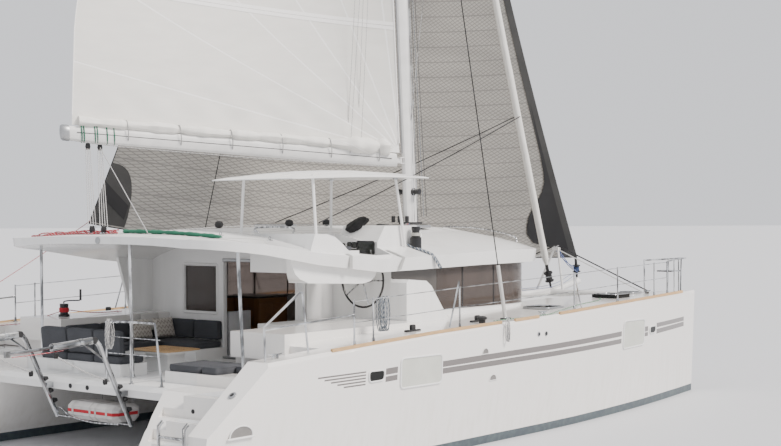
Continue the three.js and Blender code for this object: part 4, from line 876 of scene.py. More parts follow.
def dress_deck_edges():
    """Stanchion bases, gate braces, and the covers and plates at the shrouds' feet."""
    base = [(0.045, -0.004), (0.045, 0.008), (0.022, 0.014), (0.019, 0.07), (0.014, 0.072)]
    feet = [turned(base, on_deck(x, float(outer_side(x)) - 0.15)) for x in STANCHION_X]
    piece("stanchion_bases", both(feet), stainless)
    piece("gate_braces", both([tube(hanging(top, foot), 0.012) for top, foot in GATE_BRACES]), stainless)
    cover = SHROUD_FOOT + np.linspace(0.03, 0.85, 8)[:, None] * SHROUD_WAY
    piece("shroud_covers", both(tube(cover, 0.03, 10)), pale_canvas)
    plate = block(SHROUD_FOOT + (0, 0.02, -0.02), (0.12, 0.03, 0.14), 0.008)
    piece("shroud_plates", both(plate), stainless)


def dress_deck():
    """Cleats, sheet leads, flush hatches and vents on the hulls' decks."""
    for name, (x, y) in CLEATS.items():
        piece(name, both(cleat(on_deck(x, y, 0.004))), stainless)
    for name, (x, y) in SHEET_LEADS.items():
        track = block(on_deck(x, y, 0.012), (0.34, 0.05, 0.03), 0.008)
        car = block(on_deck(x, y, 0.06), (0.1, 0.06, 0.08), 0.02)
        piece(name, both([track, car]), rubber)
    for name, (x, y, wide) in DECK_HATCHES.items():
        rim = block(on_deck(x, y, 0.014), (wide + 0.08, wide + 0.08, 0.04), 0.014, corner=0.07)
        pane = block(on_deck(x, y, 0.034), (wide, wide, 0.02), 0.006, corner=0.06)
        piece(f"{name}_frame", both(rim), anodised)
        piece(f"{name}_glass", both(pane), dark_glass)
    vent = [(0.05, -0.01), (0.05, 0.05), (0.075, 0.06), (0.078, 0.085), (0.05, 0.105), (0.01, 0.11)]
    piece("deck_vents", both(turned(vent, on_deck(-1.05, 3.62))), rubber)
    lids = [block((3.12, y, 1.93), (0.5, 0.86, 0.022), 0.008, corner=0.06) for y in (-0.62, 0.62)]
    piece("foredeck_lids", lids, gelcoat)


def dress_lifting_hatches():
    """Rims and latches of the fore hatches and handles of the engine hatches, which lift with them."""
    for side, name in SIDES:
        lid = on_deck(4.1, side * 2.81, 0.066)
        piece(f"fore_hatch_rim_{name}", hoop(flat_outline(0.232, 0.232, 0.05, lid), 0.012), anodised,
              f"fore_hatch_{name}")
        dogs = [block(lid + (-0.21, across, 0.008), (0.06, 0.03, 0.02), 0.006) for across in (-0.14, 0.14)]
        piece(f"fore_hatch_latches_{name}", dogs, rubber, f"fore_hatch_{name}")
        handle = [(-4.86, side * y, z) for y, z in ((3.3, 1.35), (3.3, 1.372), (3.16, 1.372), (3.16, 1.35))]
        piece(f"engine_hatch_handle_{name}", bent_tube(handle, 0.006, 18), stainless, f"engine_hatch_{name}")


dress_deck_edges()
dress_deck()
dress_lifting_hatches()

FOREDECK_LINE = (
    (-1.0, -3.8, 1.864), (0.4, -3.8, 1.878), (1.2, -3.56, 1.89), (2.3, -3.25, 1.925), (3.5, -2.95, 1.948),
    (4.5, -2.2, 1.954), (5.4, -2.0, 1.957),
)
free_rope("foredeck_line", curve(FOREDECK_LINE, 60), 0.007, green_rope)


# Nets between the hulls

def outline_of(points):
    """The points along the four edges of a grid of points."""
    return np.concatenate([points[0], points[1:, -1], points[-1, -2::-1], points[-2:0:-1, 0]])


def sheet_area(points):
    """Area of a grid of points: half of each diagonal pair's cross product, added up."""
    a, b = points[1:, 1:] - points[:-1, :-1], points[1:, :-1] - points[:-1, 1:]
    return float(np.linalg.norm(np.cross(a, b), axis=-1).sum() / 2)


def dress_nets():
    """Each net is a sheet that sags by a parabola both ways, with a cord along its edges."""
    u, v = grid(41, 33)
    x = 3.62 + (6.25 - 3.62) * u
    outer = np.interp(x, (3.6, 4.6, 5.4, 6.27), (1.9, 2.0, 2.27, 2.6)) - 0.03
    for side, name in SIDES:
        y = side * (0.09 + (outer - 0.09) * v)
        points = np.stack([x, y, 1.838 - 0.035 * 16 * u * (1 - u) * v * (1 - v)], -1)
        made = piece(f"net_weave_{name}", sheet(points[:, ::side]), netting, replaces=[f"net_{name}"])
        round(sheet_area(points), 3)
        piece(f"net_edge_{name}", hoop(outline_of(points), 0.008), net_cord)


dress_nets()


# Sails

def boom_frame(angle):
    """Turns points in the boom's own frame, pin at nought and boom to -X, to the boat's: rake, then swing."""
    rake = Matrix.Rotation(-math.atan(MAST_RAKE), 4, "Y")
    swing = Matrix.Translation((-BOOM_PIN, 0, 0)) @ Matrix.Rotation(math.radians(angle), 4, "Z")
    mast = Matrix.Translation((MAST_X - MAST_RAKE * (GOOSENECK - MAST_STEP), 0, GOOSENECK))
    return np.array(mast @ rake @ swing)


ON_BOOM = boom_frame(BOOM_ANGLE)


def on_boom(points):
    """Points along the boom from reach aft of the pin, offset to port and height over its middle."""
    reach, across, up = np.moveaxis(np.asarray(points, float), -1, 0)
    local = np.stack([-reach, across, up + BOOM_RISE * reach], -1)
    return local @ ON_BOOM[:3, :3].T + ON_BOOM[:3, 3]


def mainsail_points(rise, share, proud=0.0):
    """The mainsail: reach grows along each chord, belly is a skewed parabola of it, the head twists off."""
    width = np.interp(rise, *MAINSAIL_WIDTHS.T)
    twist = np.radians(-11 * rise)
    reach = 0.015 + width * share
    depth = width * 0.1 * np.minimum(1, rise * 5 + 0.1)
    belly = depth * 4 * share * (1 - share) * (1.25 - 0.5 * share) + proud
    x = -reach * np.cos(twist) - belly * np.sin(twist)
    y = -reach * np.sin(twist) + belly * np.cos(twist)
    z = 0.1404 + BOOM_RISE * reach + rise * (SAIL_HEIGHT - 0.55 * BOOM_RISE * reach)
    return np.stack([x, y, z], -1) @ ON_BOOM[:3, :3].T + ON_BOOM[:3, 3]


def keep_cut(made, along, up):
    """Keeps each point's place on the cloth as it was cut, in metres."""
    along, up = np.ravel(along), np.ravel(up)
    point_attribute(made, "cut", np.column_stack([along, up, np.zeros(len(along))]))


def dress_mainsail():
    """The mainsail as one sheet, its foot rippled by sines that die out with height."""
    rise, share = grid(121, 61)
    slack = 0.03 * np.exp(-rise * 26) * np.sin(share * 46 + 3 * np.sin(rise * 90)) * (1 - share) ** 0.3
    made = piece("mainsail_cloth", sheet(mainsail_points(rise, share, slack)), sailcloth, "boom_and_sail",
                 replaces=["mainsail"])
    keep_cut(made, share * 5.85, rise * SAIL_HEIGHT)
    area = sheet_area(mainsail_points(rise, share))


def dress_mainsail_trim():
    """Battens in their pockets, tapes along the luff and the leech, and patches at the reefing points."""
    battens, pockets, patches = [], [], []
    along = np.linspace(0, 0.985, 30)
    narrow, length = grid(3, 30, u=(-0.004, 0.004))
    for height in (0.13, 0.3, 0.47, 0.64, 0.82):
        battens.append(tube(mainsail_points(height + 0.012 * along, along, 0.006), 0.012, 6))
        pockets.append(sheet(mainsail_points(height + narrow + 0.012 * length, length, -0.004)))
    u, v = grid(12, 12)
    for height in (0.25, 0.44):
        grown = height + 0.028 * u * np.sqrt(1.04 - v**2)
        patches += [sheet(mainsail_points(grown, 0.995 - 0.06 * v, proud)) for proud in (-0.007, 0.009)]
    rise = np.linspace(0.01, 1, 60)
    leech, luff = (mainsail_points(rise, np.full(60, share)) for share in (1.0, 0.0))
    piece("mainsail_battens", battens, pale_canvas, "boom_and_sail")
    piece("mainsail_pockets", pockets, sailcloth, "boom_and_sail")
    piece("mainsail_tapes", [tube(leech, 0.009, 6), tube(luff, 0.012, 6)], sailcloth, "boom_and_sail")
    piece("mainsail_patches", patches, sailcloth, "boom_and_sail")


def headsail_points(rise, share, proud=0.0):
    """The light sail: a sagging luff, a hollow leech, and a skewed parabola of belly to leeward between."""
    rise, share = np.broadcast_arrays(np.asarray(rise, float), np.asarray(share, float))
    bow = 4 * rise * (1 - rise)
    luff = TACK + (HEAD - TACK) * rise[..., None] + bow[..., None] * np.array((-0.42 * 0.8, 0.42 * 0.35, 0))
    leech = CLEW + (HEAD - CLEW) * rise[..., None] + bow[..., None] * np.array((0.26, 0, 0))
    width = np.linalg.norm(luff - leech, axis=-1)
    leeward = unit(np.array((0.35, 1.0, 0)))
    lift = width * 0.11 * 4 * share * (1 - share) * (1.3 - 0.6 * share) + proud
    points = luff + (leech - luff) * share[..., None] + lift[..., None] * leeward
    drop = 0.24 * 4 * share * (1 - share) * (1 - rise) ** 3
    return points - drop[..., None] * UP


def dress_light_sail():
    """The light sail as one thin sheet with a faint flutter, and dark tapes along its foot and leech."""
    rise, share = grid(101, 61, u=(0, 0.995))
    points = headsail_points(rise, share, 0.012 * np.sin(share * 40 + rise * 60) * np.sin(rise * 31 + 2))
    made = piece("light_sail_cloth", sheet(points), laminate, replaces=["light_sail"])
    keep_cut(made, share * 9.6, rise * 17.0)
    round(sheet_area(points), 2)
    reach = np.linspace(0, 1, 50)
    foot, leech = headsail_points(np.zeros(50), reach), headsail_points(reach * 0.99, np.ones(50))
    piece("light_sail_tapes", [tube(foot, 0.012, 6), tube(leech, 0.01, 6)], band_cloth)


def dress_light_sail_patches():
    """The dark luff band and the corner patches, on both faces of the light sail."""
    for proud, name in ((0.014, "inside"), (-0.014, "outside")):
        u, v = grid(80, 6, u=(0, 0.99))
        band = headsail_points(u, v * (0.017 + 0.012 * np.exp(-u * 22)), proud)
        u, v = grid(18, 24)
        clew = headsail_points(0.002 + 0.066 * u * np.sqrt(1.03 - v**3), 1 - 0.068 * v, proud)
        stripe = headsail_points(0.01 + 0.016 * u + 0.022 * (1 - v), 1 - 0.062 * v, proud * 1.8)
        bulge = (0.018 * (1 - u) + 0.052 * np.exp(-((u / 0.36) ** 4))) * np.minimum(1, np.sqrt(u / 0.1) + 0.1)
        tack = headsail_points(0.008 + 0.185 * u, 0.012 + bulge * v, proud * 1.4)
        piece(f"light_sail_luff_band_{name}", sheet(band), patch_cloth)
        piece(f"light_sail_clew_patch_{name}", sheet(clew), patch_cloth)
        piece(f"light_sail_clew_stripe_{name}", sheet(stripe), band_cloth)
        piece(f"light_sail_tack_patch_{name}", sheet(tack), band_cloth)


LIGHT_SAIL_DRUM = [
    (0.02, 0), (0.03, 0.1), (0.085, 0.115), (0.088, 0.13), (0.05, 0.14), (0.048, 0.23), (0.088, 0.24),
    (0.085, 0.26), (0.03, 0.28), (0.026, 0.46),
]
JIB_DRUM = [
    (0.022, 0.0), (0.024, 0.24), (0.09, 0.25), (0.095, 0.27), (0.07, 0.28), (0.068, 0.41), (0.095, 0.42),
    (0.09, 0.45), (0.035, 0.46), (0.034, 0.64),
]
JIB_FOOT = np.array((6.44, 0, 1.85))


def dress_light_sail_furler():
    """The furling drum at the tack, with its line wound on it."""
    way, foot = unit(np.array((-0.06, 0, 0.5))), np.array((7.418, 0, 2.13))
    piece("light_sail_furler", turned(LIGHT_SAIL_DRUM, foot, way), black)
    wraps = [ring(foot + way * (0.15 + 0.018 * k), 0.056, way, 0.009) for k in range(5)]
    piece("furling_line_wraps", wraps, blue_line)


def dress_furled_jib():
    """The rolled jib: a spindle on its stay whose cloth shows as a slow spiral ridge, over its drum."""
    stay = np.array((MAST_X - MAST_RAKE * (HOUNDS - MAST_STEP), 0, HOUNDS)) - JIB_FOOT
    way, length = unit(stay), np.linalg.norm(stay)
    rolled, bare = np.linspace(0.62, length - 1.42, 260), np.linspace(length - 1.4, length - 0.4, 8)
    reach = np.concatenate([rolled, bare])
    stops = (0.62, 0.75, 5, 11, length - 1.42, length - 1.4, length)
    size = np.interp(reach, stops, (0.034, 0.066, 0.069, 0.055, 0.037, 0.014, 0.014))
    angle = angles(20)
    ridge = 1 + 0.07 * np.mod(angle[None] / (2 * math.pi) + reach[:, None] * 0.55, 1.0)
    side = unit(np.cross(way, (0, 1, 0)))
    around = np.cos(angle)[:, None] * side + np.sin(angle)[:, None] * np.cross(way, side)
    rings = JIB_FOOT + reach[:, None, None] * way + (size[:, None] * ridge)[..., None] * around[None]
    made = piece("rolled_jib", capped(rings), sailcloth, replaces=["furled_jib"])
    keep_cut(made, np.append(np.tile(angle, len(reach)), (0, 0)), np.append(np.repeat(reach, 20), (0, 0)))
    piece("jib_drum", turned(JIB_DRUM, JIB_FOOT, way), black)
    upper = JIB_FOOT + np.linspace(length - 0.5, length, 6)[:, None] * way
    piece("jib_stay", tube(upper, 0.006), stainless)


dress_mainsail()
dress_mainsail_trim()
dress_light_sail()
dress_light_sail_patches()
dress_light_sail_furler()
dress_furled_jib()


# Boom and mast

def dress_sail_roll():
    """The foot of the sail rolled along the boom: a radius waved by sines and drawn in under each tie."""
    reach, angle = np.linspace(0.25, 5.75, 120), angles(24)
    waves = 1 + 0.12 * np.sin(reach * 9) + 0.06 * np.sin(reach * 23)
    fat = 0.085 * (1 + 0.9 * np.exp(-((reach - 0.6) / 0.5) ** 2)) * waves
    tight = 1 - 0.25 * np.exp(-((np.mod(reach, 0.9) - 0.45) / 0.05) ** 2)
    crease = 1 + 0.09 * np.sin(angle * 5)[None] * np.sin(reach * 3 + 1)[:, None]
    radius = (fat * tight)[:, None] * crease
    spots = [reach[:, None] + 0 * angle, radius * np.cos(angle) * 1.25, 0.21 + radius * np.sin(angle)]
    made = piece("sail_roll", capped(on_boom(np.stack(spots, -1))[:, ::-1]), sailcloth, "boom_and_sail")
    keep_cut(made, np.append(np.repeat(reach, 24), (0, 0)), np.append(np.tile(angle, 120), (0, 0)))


def round_boom(reach, wide, tall, up=0.0):
    """An ellipse of points round the boom."""
    angle = angles(24)
    return on_boom(np.stack([np.full(24, reach), wide * np.cos(angle), tall * np.sin(angle) + up], -1))


# Reach and size of the rings that make the boom's end cap
BOOM_END = ((5.92, 1.02), (5.95, 1.06), (6.03, 1.05), (6.06, 0.9), (6.07, 0.5))


def dress_boom():
    """Sail ties, the end cap, canvas wraps, the lines under the boom, the reef line and the side grooves."""
    ties = [hoop(round_boom(reach, 0.125, 0.19, 0.1), 0.009) for reach in np.arange(0.45, 5.6, 0.9)]
    piece("sail_ties", ties, tie_webbing, "boom_and_sail")
    rings = np.stack([round_boom(reach, 0.088 * size, 0.13 * size) for reach, size in BOOM_END])
    piece("boom_end", capped(rings[:, ::-1]), anodised, "boom_and_sail")
    wraps = [hoop(round_boom(reach, 0.094, 0.15, 0.01), 0.01) for reach in (5.18, 5.3, 5.46, 5.5, 5.68, 5.72)]
    piece("boom_wraps", wraps, green_canvas, "boom_and_sail")
    for name, y in (("outhaul", 0.05), ("first_reef", -0.05), ("second_reef", 0.0)):
        line = curve([(0.3, y, -0.12), (2.5, y * 1.4, -0.165), (5.0, y, -0.16), (5.9, y, -0.12)], 20)
        rope(f"{name}_line", on_boom(line), 0.006, white_rope, "boom_and_sail")
    leech = mainsail_points(np.linspace(0.02, 0.25, 20), np.linspace(0.96, 0.985, 20), 0.02)
    rope("reef_line", leech, 0.006, black_rope, "boom_and_sail")
    for side, name in SIDES:
        groove = on_boom(hanging((0.2, side * 0.085, 0.02), (5.8, side * 0.085, 0.02), count=12))
        piece(f"boom_groove_{name}", tube(groove, 0.006, 5), rubber, "boom_and_sail")


def blocks_at(spots, size, name, body="boat"):
    """Rope blocks: a black cheek about a wheel at each spot."""
    wheel = [(size * 0.36, -size * 0.2), (size * 0.36, size * 0.2)]
    cheeks = [block(spot, (size * 0.8, size * 0.35, size), size * 0.15, corner=size * 0.17) for spot in spots]
    wheels = [turned(wheel, spot, (0, 1, 0)) for spot in spots]
    piece(f"{name}_cheeks", cheeks, rubber, body)
    piece(f"{name}_wheels", wheels, black, body)


SHEET_BLOCKS = [on_boom((5.62, 0.0, -0.2)), on_boom((5.42, 0.0, -0.2))]
ROOF_BLOCKS = [on_roof(-5.12, 0.33, 0.07), on_roof(-5.12, 0.6, 0.07)]


def dress_mainsheet():
    """Tackles from two blocks under the boom's end to two on the roof's aft edge, each of four parts."""
    blocks_at(SHEET_BLOCKS, 0.11, "boom_blocks", "boom_and_sail")
    blocks_at(ROOF_BLOCKS, 0.11, "roof_blocks")
    for number, (above, below) in enumerate(zip(SHEET_BLOCKS, ROOF_BLOCKS[::-1])):
        for part, shift in enumerate((-0.045, -0.015, 0.015, 0.045)):
            line = hanging(above + (shift, 0, -0.03), below + (shift * 1.6, 0, 0.03), 0.0, 20)
            made = rope(f"mainsheet_{number}_{part}", line, 0.006, white_rope, None)
            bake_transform(made)
    foot = on_roof(-5.1, -0.62, 0.03)
    tail = rope("mainsheet_tail", hanging(SHEET_BLOCKS[1], foot, 0.0, 20), 0.008, white_rope, None)
    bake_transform(tail)
    for number, spot in enumerate(ROOF_BLOCKS):
        base = spot - (0, 0, 0.055)
        piece(f"mainsheet_eye_{number}", block(base, (0.1, 0.08, 0.02), 0.008), stainless)


def mast_at(z, across=0.0, aft=0.0):
    """A point on the mast's axis at a height, moved across or aft."""
    return np.array((MAST_X - MAST_RAKE * (z - MAST_STEP) - aft, across, z))


# Halyards: offset from the mast's middle at its foot, and rope
HALYARDS = ((-0.22, black_rope), (-0.155, grey_rope), (-0.1, black_rope), (0.06, blue_rope))
SPREADERS = ((9.6, 0.95), (14.3, 0.76))
MAST_WINCH = [
    (0.07, 0), (0.07, 0.02), (0.05, 0.035), (0.045, 0.09), (0.055, 0.12), (0.055, 0.15), (0.02, 0.155),
]
LAZY_LINES = ((15.0, 0.8), (15.4, 1.0))
MAST_FOOT_BLOCKS = ((0.3, -0.16), (0.32, 0.0), (0.3, 0.16), (-0.3, 0.1))


def dress_mast():
    """Sail track, halyards, steaming light, boot and foot blocks."""
    track = np.array([mast_at(z, 0, 0.157) for z in np.linspace(4.6, 22.4, 30)])
    piece("mast_track", tube(track, 0.012, 6), anodised)
    for number, (across, finish) in enumerate(HALYARDS):
        foot, middle = mast_at(3.45, across, -0.2), mast_at(9.0, across * 0.7, -0.18)
        line = curve([foot, middle, mast_at(17.5, across * 0.35, -0.16)], 30)
        rope(f"halyard_{number}", line, 0.006, finish)
    light = [(0.02, 0), (0.045, 0.02), (0.05, 0.07), (0.03, 0.09), (0.01, 0.095)]
    piece("steaming_light", turned(light, mast_at(12.0, 0, -0.14), (1, 0, 0.2)), rubber)
    angle = angles(28)
    boot = np.stack([0.235 * np.cos(angle), 0.17 * np.sin(angle), np.zeros(28)], -1) + mast_at(3.33)
    piece("mast_boot", hoop(boot, 0.022), rubber)
    bits = [block(mast_at(3.4, y, aft), (0.07, 0.05, 0.12), 0.014) for aft, y in MAST_FOOT_BLOCKS]
    piece("mast_foot_blocks", bits, black)


def dress_mast_sides():
    """Diamond wires over the spreaders, lower shrouds, lazy lines and a winch on each side of the mast."""
    for side, name in SIDES:
        for number, (height, reach) in enumerate(SPREADERS):
            tip = mast_at(height, side * reach) + (0, 0, 0.06)
            ends = {"up": mast_at(height + 4.3, side * 0.09), "down": mast_at(height - 4.4, side * 0.1)}
            for way, end in ends.items():
                piece(f"diamond_{name}_{number}_{way}", tube(hanging(tip, end), 0.005, 6), stainless)
        for number, height in enumerate((8.6, 9.0)):
            base, top = mast_at(3.36, side * 0.13, -0.05 + 0.1 * number), mast_at(height, side * 0.1, -0.12)
            piece(f"lower_{name}_{number}", tube(hanging(base, top), 0.006, 6), stainless)
        piece(f"mast_winch_{name}", turned(MAST_WINCH, mast_at(3.9, side * 0.09), (0, side, 0)), black)
        for number, (height, reach) in enumerate(LAZY_LINES):
            start, stop = mast_at(height, side * 0.1), on_boom((reach, side * 0.09, 0.05))
            made = rope(f"lazy_line_{number}_{name}", hanging(start, stop, 0.12, 24), 0.005, white_rope, None)
            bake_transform(made)


dress_sail_roll()
dress_boom()
dress_mainsheet()
dress_mast()
dress_mast_sides()


# Sheets that lead from the sails to the roof and the decks

ROOF_SHEET = ((-4.8, 1.9), (-3.6, 1.2), (-2.0, 0.2), (-0.8, -0.5), (-0.3, -1.0))
STRIKER_TOP = np.array((6.61, 0, 2.79))
TACK_LINES = (
    ((6.63, 0.02, 2.8), (7.33, 0.05, 2.3)), ((6.63, -0.03, 2.77), (7.35, -0.06, 2.24)),
    ((6.62, 0.0, 2.72), (7.31, 0.0, 2.36)),
)


def dress_sheets():
    """Taut lines: the light sail's sheet and ring, the jib's sheets, the furling lines and the tack lines."""
    clew = headsail_points(0.004, 0.998)
    piece("clew_ring", ring(clew + (0.03, 0, 0), 0.045, (0, 1.0, 0.2), 0.01), stainless)
    rope("light_sail_sheet", hanging(clew, (-6.05, 3.72, 1.66), 0.04, 24), 0.007, red_rope)
    rope("roof_sheet", curve([on_roof(x, y, 0.02) for x, y in ROOF_SHEET], 40), 0.007, white_rope)
    for side, name in SIDES:
        line = hanging((5.2, side * 0.06, 5.45), (-1.3, side * 0.5, 3.36), 0.05, 24)
        rope(f"jib_sheet_{name}", line, 0.01, dark_wire)
        deck_line = [(7.3, side * 0.05, 2.2), (6.3, side * 0.12, 1.98), (3.4, side * 0.35, 1.945)]
        rope(f"furling_line_{name}", curve(deck_line, 20), 0.005, blue_rope)
    for number, (start, stop) in enumerate(TACK_LINES):
        rope(f"tack_line_{number}", hanging(start, stop, 0.05, 14), 0.009, blue_rope)


def dress_striker():
    """The striker's saddle, and its covered wires down to plates on the crossbeam."""
    piece("striker_saddle", block(STRIKER_TOP + (0.02, 0, 0.01), (0.09, 0.12, 0.05), 0.015), stainless)
    wire = tube(hanging(STRIKER_TOP + (0.02, 0.03, 0.03), (6.38, 2.3, 1.95)), 0.014)
    piece("striker_covers", both(wire), black)
    piece("striker_tangs", both(block((6.35, 2.33, 1.9), (0.1, 0.05, 0.07), 0.012)), stainless)


dress_sheets()
dress_striker()


# Cushions and pillows

def cushions(name, pads, finish, replaces=(), body="boat"):
    """One body of cushions in one finish, in the place of the solids named."""
    made = piece(name, pads, finish, body, replaces=replaces)
    return made


def seat_pads(x, y_from, y_to, z, wide, thick, count):
    """Seat cushions in a row athwart the boat."""
    step = (y_to - y_from) / count
    return [pad((x, y_from + step * (k + 0.5), z), (wide, step - 0.012, thick)) for k in range(count)]


def back_pads(x, y_from, y_to, z, tall, thick, count, lean=0.0):
    """Back cushions in a row athwart the boat, standing on the seat."""
    step = (y_to - y_from) / count
    ways = np.array((UPRIGHT[1], unit(np.array((-lean, 0, 1.0))), unit(np.array((1.0, 0, lean)))))
    size = (step - 0.012, tall, thick)
    return [pad((x, y_from + step * (k + 0.5), z), size, ways, crown=0.02) for k in range(count)]


SIDE_WAYS = np.array(((-1, 0, 0), (0, 0, 1), (0, -1, 0)), float)
# Lounge cushions: middle, size and edge radius
LOUNGE_PADS = (
    ((-4.97, -1.6, 1.371), (0.7, 0.66, 0.118), 0.022), ((-4.97, -2.1, 1.371), (0.69, 0.32, 0.118), 0.022),
    ((-4.80, -2.45, 1.371), (0.36, 0.36, 0.118), 0.022), ((-4.663, -2.79, 1.371), (0.085, 0.3, 0.118), 0.015),
)


def dress_cockpit_seats():
    """Dark cushions of the aft bench, the settee, the lounge, the engine hatch and the helm."""
    bench = seat_pads(-5.08, -0.255, 1.6, 1.394, 0.49, 0.125, 3)
    bench += back_pads(-5.252, -0.255, 1.6, 1.635, 0.36, 0.115, 3, 0.1)
    cushions("bench_cushions", bench, canvas, ["aft_bench_cushion"])
    seats = [pad((-3.86, 1.605, 1.39), (1.56, 0.56, 0.12)), pad((-2.755, 1.235, 1.39), (0.62, 1.3, 0.12))]
    cushions("settee_seats", seats, canvas, ["settee_cushion"])
    backs = [pad((x, 1.829, 1.608), (0.66, 0.31, 0.125), SIDE_WAYS) for x in (-4.31, -3.63, -2.95)]
    backs += back_pads(-2.506, 0.585, 1.76, 1.608, 0.31, 0.125, 2)
    cushions("settee_backs", backs, canvas, ["settee_back"])
    lounge = [pad(centre, size, edge=edge) for centre, size, edge in LOUNGE_PADS]
    cushions("lounge_cushions", lounge, canvas, ["lounge_cushion"])
    hatch = pad((-4.776, -2.79, 1.392), (0.115, 0.17, 0.078), edge=0.015)
    cushions("hatch_pad", hatch, canvas, ["hatch_cushion"], "engine_hatch_starboard")
    helm = [pad((-2.92, y, 2.985), (0.75, 0.48, 0.07), edge=0.016, crown=0.012) for y in (-2.085, -1.595)]
    cushions("helm_pads", helm, canvas, ["helm_cushion"])


def pillow(centre, wide, tall, thick):
    """A loose pillow that leans back: its thickness falls by one less the fourth power of each side."""
    ways = np.array((SIDE_WAYS[0], unit(np.array((0, 0.28, 1.0))), unit(np.array((0, -1.0, 0.28)))))
    u, v = grid(25, 25, (-1, 1), (-1, 1))
    dome = np.sqrt(np.clip((1 - u**4) * (1 - v**4), 0, 1))
    x = u * wide / 2 * (1 - 0.07 * (1 - v**2))
    y = v * tall / 2 * (1 - 0.07 * (1 - u**2))
    dent = 1 - 0.12 * np.exp(-((u * 1.4) ** 2) - ((v - 0.75) * 2.2) ** 2)
    front = np.stack([x, y, dome * dent * thick / 2 + 0.002], -1) @ ways + centre
    back = np.stack([x, y, -dome * thick / 2 - 0.002], -1) @ ways + centre
    edge = np.vstack([outline_of(front), outline_of(back)])
    back_points, back_faces = sheet(back)
    rim = (edge, grid_faces(2, len(edge) // 2, closed=True))
    return [sheet(front), (back_points, [face[::-1] for face in back_faces]), rim]


def dress_pillows():
    """Two printed pillows and a plain one, propped against the settee's back."""
    aft = pillow((-3.24, 1.70, 1.625), 0.44, 0.34, 0.13)
    cushions("print_pillow_aft", aft, pillow_print, ["pillow"])
    cushions("print_pillow_front", pillow((-2.78, 1.66, 1.625), 0.44, 0.34, 0.13), pillow_print)
    cushions("plain_pillow", pillow((-2.99, 1.745, 1.73), 0.4, 0.3, 0.09), pale_canvas)


dress_cockpit_seats()
dress_pillows()


# Cockpit, stern, roof and helm

def dress_table():
    """Planks of the cockpit table and the teak edge round them."""
    top = [block((-4.23, y, 1.466), (0.648, 0.208, 0.012), 0.004) for y in (-0.312, -0.104, 0.104, 0.312)]
    piece("table_planks", top, teak)
    piece("table_edge", hoop(flat_outline(0.338, 0.428, 0.05, (-4.23, 0, 1.462)), 0.012), plain_teak)


def wound(name, base, rise, thick, count, finish):
    """Turns of a line round a winch's drum."""
    turns = [ring(np.array(base) + rise * k * UP, 0.074, UP, thick) for k in range(count)]
    piece(name, turns, finish)


WINCH_HANDLE = (
    (-4.25, 2.4, 2.07), (-4.25, 2.4, 2.1), (-4.2, 2.33, 2.115), (-4.12, 2.2, 2.12), (-4.1, 2.17, 2.13),
)
SHEET_TAIL = (
    (-4.19, 2.47, 1.95), (-4.3, 2.66, 1.885), (-4.45, 3.1, 1.74), (-4.75, 3.5, 1.69), (-5.4, 3.66, 1.66),
    (-6.0, 3.66, 1.64),
)
WINCH_LEAD = ((-4.19, 2.35, 1.96), (-3.6, 2.42, 1.885), (-3.0, 2.46, 1.875))


def dress_winches():
    """Turns of line on both winches, the port one's handle, and the lines that lead to and from it."""
    wound("port_winch_wraps", (-4.25, 2.4, 1.935), 0.012, 0.0075, 6, red_strap)
    wound("helm_winch_wraps", (-0.93, -2.24, 3.15), 0.013, 0.0065, 4, white_line)
    grip = tube([(-4.1, 2.17, 2.12), (-4.1, 2.17, 2.3)], 0.019, 10)
    piece("winch_handle", [bent_tube(WINCH_HANDLE, 0.011, 20), grip], black)
    rope("light_sail_sheet_tail", curve(SHEET_TAIL, 40), 0.007, red_rope)
    rope("winch_lead", curve(WINCH_LEAD, 20), 0.007, red_rope)


# Steps of the sterns: x and height of the grip, its y from and to, and its depth
STEP_GRIPS = (
    (-5.77, 1.151, 2.62, 3.42, 0.5), (-6.35, 0.861, 2.62, 3.42, 0.17), (-6.62, 0.601, 2.72, 3.42, 0.17),
)
DRAIN = [(0.03, -0.004), (0.03, 0.004), (0.02, 0.005)]
LARGE_DRAIN = [(0.035, -0.004), (0.035, 0.004), (0.026, 0.006)]
STEP_DRAINS = ((-5.343, 2.66, 1.2), (-6.202, 2.75, 0.96), (-6.503, 3.3, 0.68))


def dress_cockpit():
    """Locker lids, drains, grip pads on the steps and the floor, and lights under the roof."""
    lids = [block((-5.3415, y, 1.245), (0.006, 0.6, 0.13), 0.002) for y in (0.35, 1.1)]
    piece("bench_locker_lids", lids, gelcoat)
    lid = block((-5.343, 3.05, 1.235), (0.008, 0.62, 0.11), 0.003, corner=0.03)
    piece("step_locker_lids", both(lid), gelcoat)
    steps = [
        block((x, (low + high) / 2, z), (deep, high - low, 0.006), 0.002, corner=0.05)
        for x, z, low, high, deep in STEP_GRIPS
    ]
    piece("step_grips", both(steps), grip_pad)
    floor = [
        block((x, y, 1.1505), (0.56, 0.5, 0.005), 0.002, corner=0.04)
        for x in (-5.0, -3.75) for y in (-0.95, -0.42)
    ]
    piece("floor_grips", floor, grip_pad)
    piece("step_drains", both([turned(DRAIN, spot, (-1, 0, 0)) for spot in STEP_DRAINS]), rubber)
    piece("beam_drains", [turned(LARGE_DRAIN, (-5.852, y, 1.045), (-1, 0, 0)) for y in (-0.18, 0.2)], rubber)
    lamp = [(0.045, 0), (0.05, -0.006), (0.03, -0.012)]
    lights = [turned(lamp, (x, y, 3.052)) for x in (-4.4, -3.4) for y in (-0.7, 0.9)]
    piece("overhead_lights", lights, anodised)


COLLAR = [(0.054, -0.03), (0.056, 0.0), (0.054, 0.03)]
DAVIT_ROLLER = [(0.04, -0.05), (0.046, -0.04), (0.046, 0.04), (0.04, 0.05)]


